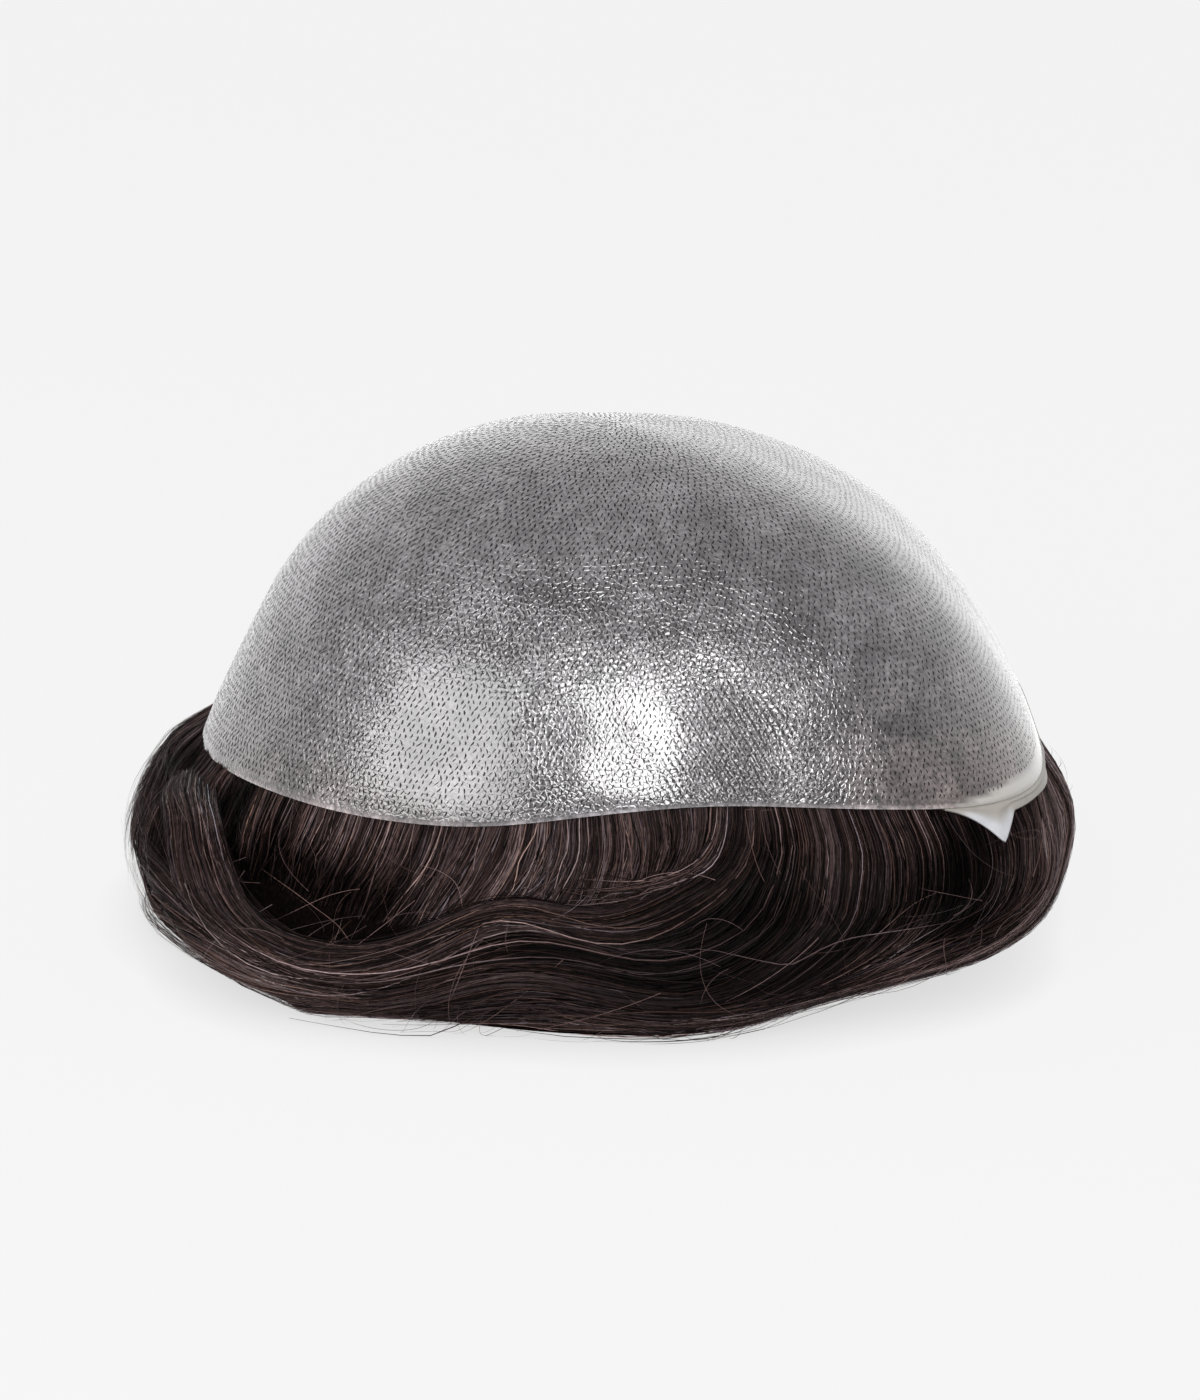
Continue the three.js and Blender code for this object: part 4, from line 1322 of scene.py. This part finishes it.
def make_skin():
    """Skin under all the locks, near black with painted shade, from the rim down to the table."""
    theta = np.arange(SKIN_TURNS) * TAU / SKIN_TURNS
    top = periodic(rim_levels, theta) - 1.6 * MM
    share = np.linspace(0, 1, SKIN_ROWS)
    z = 0.6 * MM + top[:, None] * (1 - share[None, :])
    angle = np.broadcast_to(theta[:, None], z.shape)
    back = SKIN_BACK + SKIN_BACK_LOW * (1 - eased(z / (7 * MM))) + spots(hollows, angle, z)
    grid = surface.point(angle, z) - surface.normal(angle, z) * (MM * back)[..., None]
    grid[:, :, 2] = np.maximum(grid[:, :, 2], 0.2 * MM)
    skin = mesh_object("hair_under_locks", grid.reshape(-1, 3), ring_faces(SKIN_TURNS, SKIN_ROWS))
    dress(skin, SHADED_UNDER, "hair")


make_lining()
make_skin()

pocket = Family(POCKET, True)
curl = Family(CURL, True)
wave = Family(WAVE, True)
right_end = Family(RIGHT_END, False)
back = Family(BACK, False, middle=100)
back_foot = Family(BACK_FOOT, False, rooted=False, middle=100)
left_end = Family(LEFT_END, True)
left_foot = Family(LEFT_FOOT, False)
sheaf = Family(SHEAF, True)
curl_end = Family(CURL_END, True, rooted=False)
lower_edge = Family(LOWER_EDGE, True, rooted=False)
left_edge = Family(LEFT_EDGE, True, rooted=False)

fall_parts = [
    grow(pocket, 5000, 21, 11, margin=0.02, locks=30, cut=(0.85, 1.0), lift=0.0,
         deep=1.7, wave=0.35, round_off=0.3, shift=-0.3),
]
curl_parts = [
    grow(curl, 1650, 31, 30, locks=3, cut=(0.86, 1.0), lift=0.5, wave=0.5,
         painted_light_weight=0.5, shift=-1.1, pull=(0.05, 0.25), round_off=0.6),
    grow(curl_end, 1500, 32, 14, margin=0.008, locks=2, cut=(0.93, 1.0), lift=0.3,
         deep=1.6, wave=0.3, painted_light_weight=0.0, shift=-0.95, pull=(0.0, 0.2), round_off=0.9,
         under=0.9),
]
wave_parts = [
    grow(wave, 2650, 41, 28, margin=0.02, locks=14, cut=(0.78, 1.0), lift=0.8,
         wave=0.5, shift=-0.95),
]
lower_parts = [
    grow(wave, 1250, 46, 28, margin=0.02, locks=20, cut=(0.6, 1.0), lift=0.8,
         wave=0.8, shift=-0.7),
    grow(lower_edge, 900, 44, 20, margin=0.05, locks=2, cut=(0.6, 1.0), lift=0.2,
         wave=0.5, deep=1.6, shift=-0.4),
    grow(left_edge, 1000, 45, 14, margin=0.03, locks=2, cut=(0.6, 1.0), lift=0.4,
         wave=0.5, deep=1.2, shift=-0.5, pull=(0.05, 0.3)),
    grow(sheaf, 40, 42, 16, locks=2, clump=4, cut=(0.6, 1.0), lift=0.2, deep=0.3,
         proud=0.3, wave=0.9, painted_light_weight=0.0, shift=0.3, under=0.25),
]
end_parts = [
    grow(right_end, 1500, 51, 20, margin=0.05, locks=6, cut=(0.65, 1.0), lift=0.8,
         proud=0.6, shift=0.5),
    grow(left_end, 1950, 52, 14, margin=0.04, locks=9, cut=(0.35, 1.0), lift=1.4,
         proud=0.5, wave=0.5, lean=1.4, shift=-0.4),
    grow(left_foot, 1300, 55, 12, margin=0.04, locks=9, cut=(0.3, 0.9), lift=0.8,
         proud=0.5, wave=0.5, lean=1.0, shift=-0.2),
]
back_parts = [
    grow(back, 2400, 61, 18, margin=0.03, locks=18, cut=(0.7, 1.0), lift=1.2, wave=0.6),
    grow(back_foot, 1300, 62, 14, margin=0.03, locks=16, cut=(0.7, 1.0), lift=0.6, wave=0.6),
]
# Fine ends that stand off the hair at the left.
FRINGE = dict(clump=3, deep=0.8, proud=0.8, wave=0.6, shift=-0.3, under=0.3)
loose_parts = [
    loose(50, 71, (225, 345), (2, 34), (10, 34), 1.8, (0.4, 1.2), shift=0.1),
    loose(34, 72, (206, 250), (8, 32), (8, 20), 2.0, (0.3, 1.6), way=(-100, 80), shift=0.0),
    loose(8, 73, (240, 300), (1, 4), (4, 9), 1.2, (0.3, 1.6), way=(-60, -10),
          shift=-0.2, start=-1.0),
    loose(100, 74, (0, 172), (2, 32), (10, 34), 1.4, (0.2, 1.5), shift=0.0),
    grow(left_end, 300, 54, 14, margin=0.04, locks=9, cut=(0.3, 1.0), lift=3.4, lean=2.6,
         **FRINGE),
    grow(left_foot, 550, 56, 12, margin=0.04, locks=9, cut=(0.15, 0.8), lift=2.4, lean=3.2,
         **FRINGE),
    # Lighter fine ends at the right end: painted highlight along its edge.
    grow(right_end, 300, 57, 16, margin=0.05, locks=6, clump=3, cut=(0.5, 1.0), lift=1.0,
         deep=0.8, proud=0.9, wave=0.5, shift=0.4, under=0.2),
    grow(left_edge, 260, 58, 12, margin=0.03, locks=2, clump=3, cut=(0.3, 1.0), lift=1.6,
         deep=0.6, proud=0.8, wave=0.8, lean=1.8, shift=0.0, under=0.3),
    loose(16, 76, (318, 338), (13, 26), (8, 18), 2.6, (0.9, 2.2), way=(-90, 200), shift=0.1,
          start=0.8),
]
dress(ribbons("strands_fall", fall_parts, (0.13, 0.3), 22), HAIR, "hair")
dress(ribbons("strands_side_curl", curl_parts, (0.11, 0.27), 33, lighten=1.9), HAIR, "hair",
      "side_curl")
dress(ribbons("strands_front_wave", wave_parts, (0.12, 0.3), 43), HAIR, "hair", "front_wave")
dress(ribbons("strands_lower_front", lower_parts, (0.11, 0.26), 47), HAIR, "hair")
dress(ribbons("strands_ends", end_parts, (0.12, 0.3), 53), HAIR, "hair", "temple_lock")
dress(ribbons("strands_back", back_parts, (0.2, 0.42), 63), HAIR, "hair", "back_sweep")
dress(ribbons("strands_loose", loose_parts, (0.07, 0.12), 75), STRAY, "hair")


# Stage and light.
FLOOR_REACH = 6.0
LIT_SPOT = Vector((0, -0.05, 0.06))


def make_floor():
    corners = FLOOR_REACH * np.array([(-1, -1, 0), (1, -1, 0), (1, 1, 0), (-1, 1, 0)])
    obj = mesh_object("floor", corners, np.array([[0, 1, 2, 3]]), smooth=False)
    obj.data.materials.append(table_material())


def make_light(name, azimuth, elevation, distance, width, height, radiance):
    """A soft rectangle of light, by its direction in degrees from the front."""
    data = bpy.data.lights.new(name, "AREA")
    data.shape = "RECTANGLE"
    data.size, data.size_y = width, height
    data.energy = radiance * math.pi * width * height
    obj = bpy.data.objects.new(name, data)
    a, e = math.radians(azimuth), math.radians(elevation)
    way = Vector((math.sin(a) * math.cos(e), -math.cos(a) * math.cos(e), math.sin(e)))
    obj.location = LIT_SPOT + way * distance
    obj.rotation_euler = way.to_track_quat("Z", "Y").to_euler()
    obj.visible_camera = False
    bpy.context.scene.collection.objects.link(obj)


def make_world():
    """Bright from above and behind, dim from the side of the camera."""
    world = bpy.data.worlds.new("studio")
    world.use_nodes = True
    graph = Graph(world.node_tree)
    lean = graph.add("ShaderNodeVectorMath", {0: graph.place("Generated"), 1: (0.0, 0.8, 0.6)},
                     operation="DOT_PRODUCT").outputs["Value"]
    backdrop = graph.nodes["Background"]
    graph.links.new(graph.spread(lean, (-0.5, 0.3), (0.28, 1.12), smooth=True),
                    backdrop.inputs["Strength"])
    backdrop.inputs["Color"].default_value = (1.0, 1.0, 1.0, 1)
    bpy.context.scene.world = world


make_floor()
make_light("softbox_left", -40, 20.5, 1.0, 0.93, 0.42, 9.5)
make_light("softbox_front", 4.5, 24, 1.0, 0.35, 0.38, 22.0)
make_world()
bpy.context.scene.view_settings.view_transform = "Standard"
